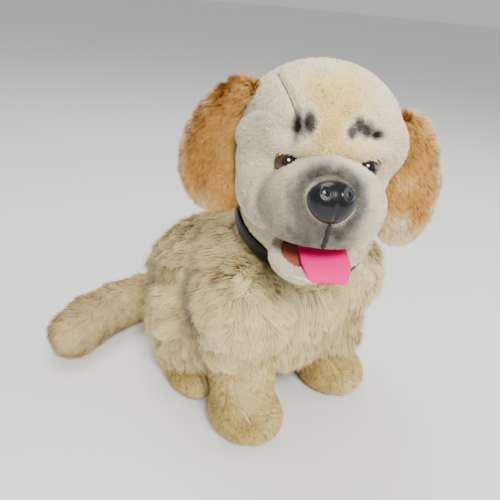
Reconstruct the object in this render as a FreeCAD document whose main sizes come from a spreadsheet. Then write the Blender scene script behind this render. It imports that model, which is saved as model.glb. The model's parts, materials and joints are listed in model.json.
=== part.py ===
import FreeCAD, Part
import math
import os
import Sketcher

# A sitting plush puppy with a motorised neck, jaw and tail.
# Millimetres. +Z up, the puppy faces -Y, its left is +X. The floor is z = 0, below the middle of the seat.

V = FreeCAD.Vector
DOC = FreeCAD.newDocument("interactive_plush_pet")
SHEET = DOC.addObject("Spreadsheet::Sheet", "Dims")

# Driving dimensions: alias and value.
DIMENSIONS = [
    # soft body
    ("hips_wide", 60), ("hips_deep", 52), ("hips_tall", 60), ("hips_y", 2), ("hips_z", 46),
    ("back_wide", 56), ("back_deep", 46), ("back_tall", 58), ("back_y", -14), ("back_z", 80),
    ("chest_wide", 64), ("chest_deep", 48), ("chest_tall", 60), ("chest_y", -52), ("chest_z", 92),
    ("chest_lean", 15),
    ("neck_y", -74), ("neck_z", 146), ("neck_ball", 42), ("neck_top", 177), ("neck_socket", 46.2),
    ("leg_x", 45), ("leg_wide", 21), ("leg_long", 25), ("leg_tall", 60), ("leg_y", -68), ("leg_z", 66),
    ("paw_x", 43), ("paw_y", -81), ("paw_z", 15), ("paw_wide", 22), ("paw_long", 27), ("paw_tall", 15),
    ("haunch_x", 47), ("haunch_y", -12), ("haunch_z", 41),
    ("haunch_wide", 21), ("haunch_long", 34), ("haunch_tall", 41),
    ("hind_x", 52), ("hind_y", -25), ("hind_z", 13), ("hind_wide", 12), ("hind_long", 23), ("hind_tall", 13),
    ("collar_tilt", 24), ("collar_half", 4.5), ("collar_in", 42.3), ("collar_out", 45.2),
    # head
    ("head_z", 156), ("head_yaw", -39), ("head_pitch", -8),
    ("skull_wide", 47), ("skull_deep", 42), ("skull_tall", 38), ("skull_y", -19), ("skull_z", 46),
    ("muzzle_wide", 32), ("muzzle_deep", 32), ("muzzle_tall", 25), ("muzzle_y", -56), ("muzzle_z", 14),
    ("ear_x", 58), ("ear_z", 33), ("ear_wide", 25), ("ear_thick", 13), ("ear_tall", 41), ("ear_drop", 12),
    ("eye_x", 20.5), ("eye_y", -53), ("eye_z", 34), ("eye_ball", 6.5),
    ("nose_y", -88), ("nose_z", 22), ("nose_wide", 12), ("nose_deep", 8), ("nose_tall", 10.5),
    ("jaw_wide", 25), ("jaw_deep", 27), ("jaw_tall", 11), ("jaw_open", 14),
    ("hinge_y", -46.7), ("hinge_z", 168.6), ("tongue_wide", 26), ("tongue_thick", 3),
    # chassis and works
    ("wall", 2), ("soft_gap", 0.5), ("run_gap", 0.05),
    ("chassis_half", 26), ("chassis_front", -36), ("chassis_rear", 8),
    ("chassis_base", 20.6), ("chassis_top", 108),
    ("shelf_z", 84), ("shaft_rad", 4), ("cell_rad", 7.1), ("cell_long", 50.5), ("cell_pitch", 15.2),
    ("door_wide", 51.6), ("door_long", 48), ("door_thick", 1.8), ("door_z", 1.2),
    ("gear_module", 0.8), ("gear_thick", 4), ("neck_teeth", 40), ("pinion_teeth", 15), ("tail_teeth", 30),
    ("sector_teeth", 60), ("tail_pivot_y", 36), ("tail_arm_z", 22), ("motor_rad", 10), ("motor_flat", 15),
    ("speaker_rad", 17), ("board_wide", 40), ("board_tall", 44), ("board_thick", 1.6),
]
D = {}
for row, (alias, value) in enumerate(DIMENSIONS, start=1):
    SHEET.set(f"A{row}", alias)
    SHEET.set(f"B{row}", str(value))
    SHEET.setAlias(f"B{row}", alias)
    D[alias] = value
DOC.recompute()

NODES = {}


# ---------------------------------------------------------------- small builders
def bind(obj, **aliases):
    """Drives properties of an object from cells of the sheet."""
    for prop, text in aliases.items():
        obj.setExpression(prop, text)
    return obj


def place(obj, at=(0, 0, 0), turn=None, frame=None):
    """Puts an object at a point, turned by a Rotation, within a frame."""
    local = FreeCAD.Placement(V(*at), turn or FreeCAD.Rotation())
    obj.Placement = frame.multiply(local) if frame else local
    return obj


def about(axis, angle):
    return FreeCAD.Rotation(V(*axis), angle)


def ellipsoid(name, at, x, y, z, turn=None, frame=None):
    """x, y and z are radii, each a number or an expression on the sheet."""
    obj = DOC.addObject("Part::Ellipsoid", name)
    obj.Angle1, obj.Angle2, obj.Angle3 = -90, 90, 360
    for prop, size in (("Radius2", x), ("Radius3", y), ("Radius1", z)):
        if isinstance(size, str):
            obj.setExpression(prop, size)
        else:
            setattr(obj, prop, size)
    return place(obj, at, turn, frame)


def box(name, low, high, frame=None):
    obj = DOC.addObject("Part::Box", name)
    obj.Length, obj.Width, obj.Height = (high[i] - low[i] for i in range(3))
    return place(obj, low, None, frame)


def cylinder(name, radius, height, at, axis=(0, 0, 1), frame=None):
    obj = DOC.addObject("Part::Cylinder", name)
    obj.Radius, obj.Height = radius, height
    return place(obj, at, FreeCAD.Rotation(V(0, 0, 1), V(*axis)), frame)


def sphere(name, radius, at, frame=None):
    obj = DOC.addObject("Part::Sphere", name)
    if isinstance(radius, str):
        obj.setExpression("Radius", radius)
    else:
        obj.Radius = radius
    return place(obj, at, None, frame)


def fuse(name, *shapes):
    obj = DOC.addObject("Part::MultiFuse", name)
    obj.Shapes = list(shapes)
    return obj


def cut(name, base, tool):
    obj = DOC.addObject("Part::Cut", name)
    obj.Base, obj.Tool = base, tool
    return obj


def trimmed(name, base, tools):
    """A shape with each tool taken away in turn."""
    for k, tool in enumerate(tools):
        base = cut(f"{name}_{k}", base, tool)
    return base


def common(name, *shapes):
    obj = DOC.addObject("Part::MultiCommon", name)
    obj.Shapes = list(shapes)
    return obj


def node(name, obj):
    """Marks an object as a finished sub-part."""
    obj.Label = name
    NODES[name] = obj
    return obj


def copy_of(name, source):
    """The same shape again, to be used as a tool."""
    obj = DOC.addObject("Part::MultiFuse", name)
    obj.Shapes = [source, source]
    return obj


def body(name, frame=None):
    obj = DOC.addObject("PartDesign::Body", name)
    if frame:
        obj.Placement = frame
    return obj


def sketch_on(holder, plane, name):
    flat = holder.newObject("Sketcher::SketchObject", name)
    origin = {"XY": 3, "XZ": 4, "YZ": 5}[plane]
    flat.AttachmentSupport = [(holder.Origin.OriginFeatures[origin], "")]
    flat.MapMode = "FlatFace"
    return flat


def outline(flat, points):
    """A closed outline through points of the sketch plane."""
    for start, end in zip(points, points[1:] + points[:1]):
        flat.addGeometry(Part.LineSegment(V(*start, 0), V(*end, 0)), False)


def rectangle(flat, wide, tall, name):
    """A rectangle about the sketch's origin, its two sides driven by the sheet."""
    half = (D[wide] / 2, D[tall] / 2)
    corners = [(-half[0], -half[1]), (half[0], -half[1]), (half[0], half[1]), (-half[0], half[1])]
    outline(flat, corners)
    for i in range(4):
        flat.addConstraint(Sketcher.Constraint("Coincident", i, 2, (i + 1) % 4, 1))
    for i, kind in enumerate(("Horizontal", "Vertical", "Horizontal", "Vertical")):
        flat.addConstraint(Sketcher.Constraint(kind, i))
    across = flat.addConstraint(Sketcher.Constraint("DistanceX", 0, 1, 0, 2, D[wide]))
    flat.setExpression(f"Constraints[{across}]", f"Dims.{wide}")
    up = flat.addConstraint(Sketcher.Constraint("DistanceY", 1, 1, 1, 2, D[tall]))
    flat.setExpression(f"Constraints[{up}]", f"Dims.{tall}")
    flat.addConstraint(Sketcher.Constraint("Symmetric", 0, 1, 2, 1, -1, 1))


def pad(holder, flat, length, midplane=False):
    grown = holder.newObject("PartDesign::Pad", holder.Name + "_pad")
    grown.Profile = flat
    if isinstance(length, str):
        grown.setExpression("Length", length)
    else:
        grown.Length = length
    grown.Midplane = midplane
    return grown


def turned(name, profile, frame=None):
    """A PartDesign revolution about the body's Z of points (radius, z)."""
    holder = body(name, frame)
    flat = sketch_on(holder, "XZ", name + "_profile")
    outline(flat, profile)
    spun = holder.newObject("PartDesign::Revolution", name + "_turn")
    spun.Profile = flat
    spun.ReferenceAxis = (flat, ["V_Axis"])
    spun.Angle = 360
    return holder


def gear_shape(teeth, thick, span=360.0, middle=0.0, backlash=0.16):
    """A spur gear about +Z with involute flanks, or a sector of one about the angle middle."""
    module = D["gear_module"]
    pitch = module * teeth / 2
    base = pitch * math.cos(math.radians(20))
    tip = pitch + 0.8 * module
    root = pitch - 1.05 * module
    half_tooth = math.pi / 2 / teeth - backlash / 2 / pitch + math.tan(math.radians(20)) - math.radians(20)
    flank = []
    for step in range(5):
        radius = max(base, root) + (tip - max(base, root)) * step / 4
        roll = math.acos(min(1.0, base / radius))
        flank.append((radius, half_tooth - (math.tan(roll) - roll)))
    points = []
    count = max(1, round(teeth * span / 360))
    first = math.radians(middle) - (math.pi * (count - 1) / teeth if span < 360 else 0)
    for k in range(count):
        turn = first + 2 * math.pi * k / teeth
        tooth = [(root, -flank[0][1] * 1.02)] + [(r, -a) for r, a in flank]
        tooth += [(r, a) for r, a in reversed(flank)] + [(root, flank[0][1] * 1.02)]
        points += [V(r * math.cos(turn + a), r * math.sin(turn + a), 0) for r, a in tooth]
    if span < 360:
        points.append(V(0, 0, 0))
    return Part.Face(Part.makePolygon(points + points[:1])).extrude(V(0, 0, thick))


def solid_feature(name, shape, frame=None):
    obj = DOC.addObject("Part::Feature", name)
    obj.Shape = shape
    if frame:
        obj.Placement = frame
    return obj


def ref(alias):
    return "Dims." + alias


def expr3(prefix, a, b, c):
    return ref(prefix + a), ref(prefix + b), ref(prefix + c)


# ---------------------------------------------------------------- frames
NECK_AXIS = V(0, D["neck_y"], 0)
HEAD = FreeCAD.Placement(V(0, D["neck_y"], D["head_z"]),
                         about((0, 0, 1), D["head_yaw"]).multiply(about((1, 0, 0), D["head_pitch"])))
# The head's works stand upright: turned with the head, but not tipped.
WORKS = FreeCAD.Placement(NECK_AXIS, about((0, 0, 1), D["head_yaw"]))
# The jaw's own frame: its hinge, dropped open.
JAW = WORKS.multiply(FreeCAD.Placement(V(0, D["hinge_y"], D["hinge_z"]),
                                       about((1, 0, 0), D["head_pitch"] + D["jaw_open"])))
LEAN = about((1, 0, 0), D["chest_lean"])


# ---------------------------------------------------------------- torso plush
def torso_solids(tag):
    """The stuffed torso's outside, as overlapping rounded volumes."""
    parts = [
        ellipsoid(tag + "_hips", (0, D["hips_y"], D["hips_z"]), *expr3("hips_", "wide", "deep", "tall")),
        ellipsoid(tag + "_back", (0, D["back_y"], D["back_z"]), *expr3("back_", "wide", "deep", "tall")),
        ellipsoid(tag + "_chest", (0, D["chest_y"], D["chest_z"]), *expr3("chest_", "wide", "deep", "tall"),
                  turn=LEAN),
    ]
    parts.append(sphere(tag + "_neck", ref("neck_ball"), (0, D["neck_y"], D["neck_z"])))
    return fuse(tag, *parts)


def chassis_boxes(tag, grow):
    """The chassis' outside, grown by a margin: a lower box, the neck's gear box and the tail's."""
    half, front, rear = D["chassis_half"], D["chassis_front"], D["chassis_rear"]
    base, top = D["chassis_base"], D["chassis_top"]
    spans = [
        ((-half, front, base), (half, rear, 76)),
        ((-22, -64, 60), (22, rear, top)),
        ((-22, -93, 78), (22, -60, top)),
        ((-15, rear - 3, 31), (15, 51, 45)),
        ((-15, rear - 3, 31), (15, 30, 74)),
    ]
    boxes = []
    for i, (low, high) in enumerate(spans):
        boxes.append(box(f"{tag}_{i}", [v - grow for v in low], [v + grow for v in high]))
    return fuse(tag, *boxes)


gap = D["soft_gap"]
torso_outside = torso_solids("torso_outside")
torso_void = fuse(
    "torso_void",
    chassis_boxes("chassis_room", gap),
    box("battery_room", (-31 - gap, -23 - gap, -5), (31 + gap, 27 + gap, D["chassis_base"] + 1)),
    box("door_way", (-27, 0, -5), (27, 70, 3.4)),
    box("switch_room", (-11, -36, -5), (11, -22, 9)),
    box("tail_way", (-19, 20, 20.4), (19, 70, 31.2)),
    cylinder("speaker_room", D["speaker_rad"] + 1.5, 14, (0, -34, 42), (0, -1, 0)),
    cylinder("neck_way", 11, 60, (0, D["neck_y"], 104)),
    cylinder("neck_mouth", 12, 60, (0, D["neck_y"], 130)),
    box("under_floor", (-200, -200, -60), (200, 200, 0)),
    box("over_neck", (-60, -130, D["neck_top"]), (60, -10, 240)),
)
torso_plush = node("torso_plush", cut("torso_plush", torso_outside, torso_void))


# ---------------------------------------------------------------- legs, paws, haunches
def limbs(side, word):
    """One side's front leg, front paw, haunch and hind paw, each butted against the one before it."""
    floor = box(f"floor_{word}", (-200, -200, -60), (200, 200, 0))
    leg_at = (side * D["leg_x"], D["leg_y"], D["leg_z"])
    leg = ellipsoid(f"leg_{word}", leg_at, *expr3("leg_", "wide", "long", "tall"), turn=about((1, 0, 0), 3))
    paw = ellipsoid(f"paw_{word}", (side * D["paw_x"], D["paw_y"], D["paw_z"]),
                    *expr3("paw_", "wide", "long", "tall"))
    haunch = ellipsoid(f"haunch_{word}", (side * D["haunch_x"], D["haunch_y"], D["haunch_z"]),
                       *expr3("haunch_", "wide", "long", "tall"))
    hind = ellipsoid(f"hind_{word}", (side * D["hind_x"], D["hind_y"], D["hind_z"]),
                     *expr3("hind_", "wide", "long", "tall"))
    trunk = torso_solids(f"trunk_{word}")
    paw_tools = [floor]
    if side < 0:
        paw_tools.append(cylinder("paw_switch_room", 9.5, 15, (side * D["paw_x"], D["paw_y"], 5.5)))
    front_paw = trimmed(f"front_paw_{word}", paw, [trunk] + paw_tools)
    front_leg = trimmed(f"front_leg_{word}", leg, [trunk, paw, floor])
    back_leg = trimmed(f"haunch_body_{word}", haunch, [trunk, leg, paw, floor])
    hind_paw = trimmed(f"hind_body_{word}", hind, [trunk, haunch, leg, paw, floor])
    node(f"front_paw_{word}", front_paw)
    node(f"front_leg_{word}", front_leg)
    node(f"haunch_{word}", back_leg)
    node(f"hind_paw_{word}", hind_paw)


limbs(-1, "right")
limbs(1, "left")

# ---------------------------------------------------------------- collar
NECK_CENTRE = (0, D["neck_y"], D["neck_z"])
collar_turn = about((1, 0, 0), D["collar_tilt"])
collar_band = common(
    "collar_band",
    cut("collar_shell", sphere("collar_outside", ref("collar_out"), NECK_CENTRE),
        sphere("collar_inside", ref("collar_in"), NECK_CENTRE)),
    place(DOC.addObject("Part::Box", "collar_slab"), (0, 0, 0)),
)
slab = DOC.getObject("collar_slab")
slab.Length, slab.Width = 120, 120
bind(slab, Height="2 * Dims.collar_half")
centre = V(*NECK_CENTRE) + V(0, 0, -6.5)
slab.Placement = FreeCAD.Placement(centre, collar_turn).multiply(
    FreeCAD.Placement(V(-60, -60, -D["collar_half"]), FreeCAD.Rotation()))
node("collar_strap", cut("collar_strap", collar_band, torso_solids("collar_seat")))

# ---------------------------------------------------------------- chassis
wall = D["wall"]
shaft_y = D["neck_y"]
pinion_y = shaft_y + D["gear_module"] * (D["neck_teeth"] + D["pinion_teeth"]) / 2
tail_y = D["tail_pivot_y"]
tail_pinion_y = tail_y - D["gear_module"] * (D["tail_teeth"] + D["pinion_teeth"]) / 2
shell = cut("chassis_shell", chassis_boxes("chassis_outside", 0), chassis_boxes("chassis_inside", -wall))
SCREWS = [(-31, 26), (2, 26), (-87, 102), (2, 102)]
ribs = [
    box("neck_shelf", (-21, -92, D["shelf_z"]), (21, -38, D["shelf_z"] + wall)),
    box("tail_shelf", (-14, 6, 41.2), (14, 29, 43.2)),
    box("tail_wall", (-15, 5, 31), (15, 7, 43)),
]
bosses = [cylinder(f"boss_{i}", 3.6, 2 * 20, (-20, y, z), (1, 0, 0)) for i, (y, z) in enumerate(SCREWS)]
solid_chassis = fuse("chassis_solid", shell, *ribs, *bosses)
motor_hole = D["motor_rad"] * 0.35
chassis_holes = fuse(
    "chassis_holes",
    cylinder("neck_bearing_hole", 8, 20, (0, shaft_y, 95)),
    cylinder("neck_foot_hole", D["shaft_rad"] + D["run_gap"], 10, (0, shaft_y, 80)),
    cylinder("neck_motor_hole", motor_hole, 10, (0, pinion_y, 80)),
    cylinder("tail_foot_hole", 3 + D["run_gap"], 8, (0, tail_y, 28)),
    cylinder("tail_motor_hole", motor_hole, 8, (0, tail_pinion_y, 38)),
    cylinder("speaker_hole", 12, 8, (0, -32, 42), (0, -1, 0)),
    cylinder("wire_hole", 3, 10, (14, -20, 17)),
    *[cylinder(f"screw_hole_{i}", 1.3, 42, (-21, y, z), (1, 0, 0)) for i, (y, z) in enumerate(SCREWS)],
    *[cylinder(f"screw_seat_{i}", 2.9, 8, (-26.1, y, z), (1, 0, 0)) for i, (y, z) in enumerate(SCREWS)],
)
whole_chassis = cut("chassis_whole", solid_chassis, chassis_holes)
node("chassis_left", common("chassis_left", whole_chassis, box("left_side", (0, -120, 0), (60, 80, 140))))
node("chassis_right", common("chassis_right", whole_chassis, box("right_side", (-60, -120, 0), (0, 80, 140))))
screws = []
for i, (y, z) in enumerate(SCREWS):
    screws.append(cylinder(f"screw_head_{i}", 2.6, 1.8, (-19.9, y, z), (1, 0, 0)))
    screws.append(cylinder(f"screw_shank_{i}", 1.3, 26, (-18.1, y, z), (1, 0, 0)))
node("chassis_screws", fuse("chassis_screws", *screws))
node("neck_bush", turned("neck_bush", [(4.05, -3), (8, -3), (8, 3), (10, 3), (10, 5), (4.05, 5)],
                         FreeCAD.Placement(V(0, shaft_y, D["chassis_top"]), FreeCAD.Rotation())))


# ---------------------------------------------------------------- motors and pinions
def can_motor(name, at, length, turn=None):
    """A small can motor, its shaft end at the point given and its can behind it along -Z of its frame."""
    can = cylinder(name + "_round", D["motor_rad"], length, (0, 0, -length))
    flats = box(name + "_flats", (-D["motor_rad"], -D["motor_flat"] / 2, -length),
                (D["motor_rad"], D["motor_flat"] / 2, 0))
    nose = cylinder(name + "_nose", 3, 1.5, (0, 0, 0))
    bore = cylinder(name + "_bore", 1 + D["run_gap"], 14, (0, 0, -8))
    solid = cut(name, fuse(name + "_solid", common(name + "_can", can, flats), nose), bore)
    solid.Placement = FreeCAD.Placement(V(*at), turn or FreeCAD.Rotation())
    return node(name, solid)


def pinion(name, at, angle, frame=None, turn=None, low=-9, high=1):
    """A pinion with teeth from z = 0 up, on a motor shaft that runs from low to high."""
    shape = gear_shape(D["pinion_teeth"], D["gear_thick"])
    shape.rotate(V(0, 0, 0), V(0, 0, 1), angle)
    shape = shape.fuse(Part.makeCylinder(1, high - low, V(0, 0, low)))
    where = FreeCAD.Placement(V(*at), turn or FreeCAD.Rotation())
    return node(name, solid_feature(name, shape, frame.multiply(where) if frame else where))


gear_z = D["shelf_z"] + wall + 3
can_motor("head_motor", (0, pinion_y, D["shelf_z"]), 21)
pinion("neck_pinion", (0, pinion_y, gear_z), -90 + 180 / D["pinion_teeth"])
tail_gear_z = 35
can_motor("tail_motor", (0, tail_pinion_y, 43.4), 23, turn=about((1, 0, 0), 180))
pinion("tail_pinion", (0, tail_pinion_y, tail_gear_z), 90 + 180 / D["pinion_teeth"], low=-2, high=15)

# ---------------------------------------------------------------- neck shaft
neck_gear = gear_shape(D["neck_teeth"], D["gear_thick"])
neck_gear.rotate(V(0, 0, 0), V(0, 0, 1), 90)
neck_gear.translate(V(0, shaft_y, gear_z))
post = Part.makeCylinder(D["shaft_rad"], 190 - D["shelf_z"], V(0, shaft_y, D["shelf_z"]))
collar_ring = Part.makeCylinder(7, 3, V(0, shaft_y, D["chassis_top"] + 5.3))
flange = Part.makeCylinder(12, 2, V(0, shaft_y, 187.5))
node("neck_shaft", solid_feature("neck_shaft", post.fuse([neck_gear, collar_ring, flange]).removeSplitter()))

# ---------------------------------------------------------------- tail works
tail_turn = 24.0
arm = Part.makeCylinder(7, 7, V(0, 0, 0))
arm = arm.fuse(Part.makeBox(10, 42, 7, V(-5, 0, 0)))
arm = arm.fuse(Part.makeSphere(6.5, V(0, 44, 3.5)))
axle = Part.makeCylinder(3, 19, V(0, 0, 0))
gear = gear_shape(D["tail_teeth"], D["gear_thick"])
gear.rotate(V(0, 0, 0), V(0, 0, 1), -90 - tail_turn)
gear.translate(V(0, 0, tail_gear_z - D["tail_arm_z"]))
tail_core_shape = arm.fuse([axle, gear]).removeSplitter()
TAIL = FreeCAD.Placement(V(0, tail_y, D["tail_arm_z"]), about((0, 0, 1), tail_turn))
tail_core = node("tail_core", solid_feature("tail_core", tail_core_shape, TAIL))

# The stuffed tail: overlapping ovals along its curve.
TAIL_CURVE = [((-13, 67, 22), 12), ((-32, 75, 21), 15), ((-58, 76, 20), 17.5), ((-86, 69, 19.5), 18),
              ((-104, 60, 19), 16)]
tail_parts = []
for i, ((p, r), (q, s)) in enumerate(zip(TAIL_CURVE, TAIL_CURVE[1:])):
    run = V(*q) - V(*p)
    middle = (V(*p) + V(*q)) * 0.5
    girth = (r + s) / 2
    tail_parts.append(ellipsoid(f"tail_oval_{i}", tuple(middle), girth, girth, run.Length / 2 + 0.8 * girth,
                                turn=FreeCAD.Rotation(V(0, 0, 1), run)))
tail_room = fuse("tail_core_room", copy_of("tail_core_copy", tail_core),
                 box("tail_floor", (-200, 0, -40), (100, 150, 1)))
node("tail_plush", cut("tail_plush", fuse("tail_stuffed", *tail_parts), tail_room))

# ---------------------------------------------------------------- battery box, door, cells, contacts
base = D["chassis_base"]
seat_y = 2
tray = fuse(
    "tray",
    cut("tray_box", box("tray_outside", (-31, seat_y - 25, 0.4), (31, seat_y + 25, base - 0.4)),
        box("tray_inside", (-29, seat_y - 23, -1), (29, seat_y + 23, base - 2))),
    box("tray_lip_right", (-30, seat_y - 25, 0.4), (-23, seat_y + 25, 1.05)),
    box("tray_lip_left", (23, seat_y - 25, 0.4), (30, seat_y + 25, 1.05)),
    box("tray_rail_right", (-30, seat_y - 25, 0.4), (-25.9, seat_y + 25, 3.6)),
    box("tray_rail_left", (25.9, seat_y - 25, 0.4), (30, seat_y + 25, 3.6)),
)
door_slot = box("door_slot", (-25.9, seat_y - 23.2, 1.05), (25.9, seat_y + 30, 3.15))
door_mouth = box("door_mouth", (-22.9, seat_y + 20, 0), (22.9, seat_y + 30, 3.15))
tray_holes = fuse("tray_holes", door_slot, door_mouth, cylinder("tray_wire_hole", 3, 8, (14, -20, base - 4)))
node("battery_box", cut("battery_box", tray, tray_holes))

door_frame = FreeCAD.Placement(V(0, seat_y + 1, D["door_z"]), FreeCAD.Rotation())
door = body("battery_door", door_frame)
door_flat = sketch_on(door, "XY", "door_flat")
rectangle(door_flat, "door_wide", "door_long", "door")
pad(door, door_flat, ref("door_thick"))
grip = sketch_on(door, "XY", "door_grip")
for k in range(4):
    y = 12 + 3 * k
    outline(grip, [(-9, y), (9, y), (9, y + 1.2), (-9, y + 1.2)])
ridges = door.newObject("PartDesign::Pocket", "door_grip_cuts")
ridges.Profile = grip
ridges.Length = 0.5
ridges.Reversed = True
screw_room = sketch_on(door, "XY", "door_screw_room")
screw_room.addGeometry(Part.Circle(V(0, -17, 0), V(0, 0, 1), 2.1), False)
bored = door.newObject("PartDesign::Pocket", "door_screw_bore")
bored.Profile = screw_room
bored.Type = 1
bored.Midplane = True
door.Tip = bored
node("battery_door", door)
screw_profile = [(0, 0.15), (2.1, 0.15), (2.1, 1.3), (1.2, 1.3), (1.2, 1.75), (0, 1.75)]
screw_frame = FreeCAD.Placement(V(0, seat_y + 1 - 17, D["door_z"]), FreeCAD.Rotation())
node("door_screw", turned("door_screw", screw_profile, screw_frame))

cell_z = 3.9 + D["cell_rad"]
for k, word in enumerate(("front", "middle", "rear")):
    y = seat_y + (k - 1) * D["cell_pitch"]
    side = 1 if k % 2 else -1
    can = cylinder(f"cell_can_{word}", D["cell_rad"], 49.5, (-24.75 * side, y, cell_z), (side, 0, 0))
    bind(can, Radius="Dims.cell_rad", Height="Dims.cell_long - 1")
    tip = cylinder(f"cell_tip_{word}", 2.6, 1.2, (24.55 * side, y, cell_z), (side, 0, 0))
    node(f"cell_{word}", fuse(f"cell_{word}", can, tip))
springs = []
plates = []
for k in range(3):
    y = seat_y + (k - 1) * D["cell_pitch"]
    side = 1 if k % 2 else -1
    plate_x = side * 27
    low, high = (plate_x - 1.2, y - 4.5, cell_z - 5), (plate_x + 1.2, y + 4.5, cell_z + 5)
    plates.append(box(f"contact_{k}", low, high))
    cone = DOC.addObject("Part::Cone", f"spring_{k}")
    cone.Radius1, cone.Radius2, cone.Height = 5, 2.6, 3.6
    place(cone, (-28.4 * side, y, cell_z), FreeCAD.Rotation(V(0, 0, 1), V(side, 0, 0)))
    springs.append(cone)
node("contact_plates", fuse("contact_plates", *plates))
node("contact_springs", fuse("contact_springs", *springs))

# ---------------------------------------------------------------- power switch
housing = cut("switch_block", box("switch_case", (-9, -34, 1), (9, -24, 8)),
              fuse("switch_rooms", box("switch_cavity", (-6.5, -32, 2), (6.5, -26, 6)),
                   box("switch_window", (-5.2, -30.4, 0), (5.2, -27.6, 3))))
node("power_switch_case", housing)
node("power_slider", fuse("power_slider", box("slider_plate", (-4, -31.6, 2.3), (4, -26.4, 5.4)),
                          box("slider_knob", (-2.6, -30.2, 0.6), (2.6, -27.8, 2.4))))

# ---------------------------------------------------------------- paw switch
paw_switch = FreeCAD.Placement(V(-D["paw_x"], D["paw_y"], 6), FreeCAD.Rotation())
node("paw_switch_case", turned("paw_switch_case", [(0, 0), (9, 0), (9, 8.4), (6.05, 8.4), (6.05, 2), (0, 2)],
                               paw_switch))
node("paw_plunger", turned("paw_plunger", [(0, 5), (6, 5), (6, 9.6), (4.5, 11.4), (0, 11.9)], paw_switch))

# ---------------------------------------------------------------- speaker and circuit board
cone_turn = FreeCAD.Placement(V(0, D["chassis_front"] - 0.2, 42), FreeCAD.Rotation(V(0, 0, 1), V(0, -1, 0)))
rad = D["speaker_rad"]
basket = [(0, 0), (8, 0), (8, 3), (rad, 6), (rad, 8.6), (rad - 2, 8.6), (rad - 4, 7.4), (5, 5), (3, 6.4),
          (0, 7)]
node("speaker", turned("speaker", basket, cone_turn))
board = body("circuit_board", FreeCAD.Placement(V(0, 3, 52), about((1, 0, 0), 90)))
board_flat = sketch_on(board, "XY", "board_flat")
rectangle(board_flat, "board_wide", "board_tall", "board")
pad(board, board_flat, ref("board_thick"))
chips = sketch_on(board, "XY", "board_chips")
chips.AttachmentOffset = FreeCAD.Placement(V(0, 0, D["board_thick"]), FreeCAD.Rotation())
outline(chips, [(-7, -5), (7, -5), (7, 9), (-7, 9)])
outline(chips, [(10, -16), (16, -16), (16, -8), (10, -8)])
outline(chips, [(-16, 12), (-10, 12), (-10, 18), (-16, 18)])
board.Tip = pad(board, chips, 2.2)
node("circuit_board", board)

# ---------------------------------------------------------------- head works
skull_at = (0, D["skull_y"], D["skull_z"])
base_z = 184
frame_parts = [
    common("frame_plate", box("frame_slab", (-34, -36, base_z), (34, 26, base_z + 2.4), WORKS),
           cylinder("frame_round", 35, 10, (0, -4, base_z - 2), frame=WORKS)),
    cylinder("frame_hub", 9, 6, (0, 0, base_z - 2.5), frame=WORKS),
    box("frame_bulkhead", (5, -49, base_z), (7, -28, base_z + 20), WORKS),
]
hinge_y, hinge_z = D["hinge_y"], D["hinge_z"]
for side in (-1, 1):
    low = min(side * 17.6, side * 20)
    frame_parts.append(box(f"cheek_{side + 1}", (low, -49, hinge_z), (low + 2.4, -30, base_z + 2.4), WORKS))
    frame_parts.append(cylinder(f"cheek_eye_{side + 1}", 4.6, 2.4, (low, hinge_y, hinge_z), (1, 0, 0), WORKS))
sector_direction = math.radians(75)
centre_distance = D["gear_module"] * (D["sector_teeth"] + D["pinion_teeth"]) / 2
jaw_pinion_at = (hinge_y + centre_distance * math.cos(sector_direction),
                 hinge_z + centre_distance * math.sin(sector_direction))
frame_holes = fuse(
    "frame_holes",
    cylinder("hub_bore", D["shaft_rad"], 20, (0, 0, base_z - 8), frame=WORKS),
    cylinder("hub_recess", 12, 2, (0, 0, 187.5), frame=WORKS),
    cylinder("hinge_bore", 1.5, 60, (-30, hinge_y, hinge_z), (1, 0, 0), WORKS),
    cylinder("jaw_motor_hole", motor_hole, 6, (3, *jaw_pinion_at), (1, 0, 0), WORKS),
    box("sector_slot", (7, -38, base_z - 4), (14, -19, base_z + 4), WORKS),
    sphere("frame_socket", D["neck_socket"] + 0.3, (0, 0, D["neck_z"]), WORKS),
)
node("head_frame", cut("head_frame", fuse("frame_solid", *frame_parts), frame_holes))
node("jaw_pin", cylinder("jaw_pin", 1.5, 40.4, (-20.2, hinge_y, hinge_z), (1, 0, 0), WORKS))

slim = {"rad": 6, "flat": 10, "long": 20}
ALONG_X = FreeCAD.Rotation(V(0, 0, 1), V(1, 0, 0))
jaw_round = cylinder("jaw_motor_round", slim["rad"], slim["long"], (0, 0, -slim["long"]))
jaw_can = common("jaw_motor_can", jaw_round, box("jaw_motor_flats", (-5, -6, -slim["long"]), (5, 6, 0)))
jaw_solid = fuse("jaw_motor_solid", jaw_can, cylinder("jaw_motor_nose", 2.5, 1.5, (0, 0, 0)))
jaw_motor = cut("jaw_motor", jaw_solid, cylinder("jaw_motor_bore", 1 + D["run_gap"], 14, (0, 0, -8)))
jaw_motor.Placement = WORKS.multiply(FreeCAD.Placement(V(5, *jaw_pinion_at), ALONG_X))
node("jaw_motor", jaw_motor)

shell_sizes = (D["skull_wide"] - 5, D["skull_deep"] - 5, D["skull_tall"] - 5)
shell_outside = ellipsoid("shell_outside", skull_at, *shell_sizes, frame=HEAD)
shell_inside = ellipsoid("shell_inside", skull_at, *[s - 2 for s in shell_sizes], frame=HEAD)
below_frame = box("below_frame", (-80, -110, 100), (80, 80, base_z + 2.4), WORKS)
face_opening = box("face_opening", (-22, -90, 150), (22, -38, 208), WORKS)

# ---------------------------------------------------------------- head plush
socket = common("socket", sphere("socket_ball", ref("neck_socket"), (0, 0, D["neck_z"]), WORKS),
                box("socket_depth", (-60, -60, 60), (60, 60, 178.4), WORKS))


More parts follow.
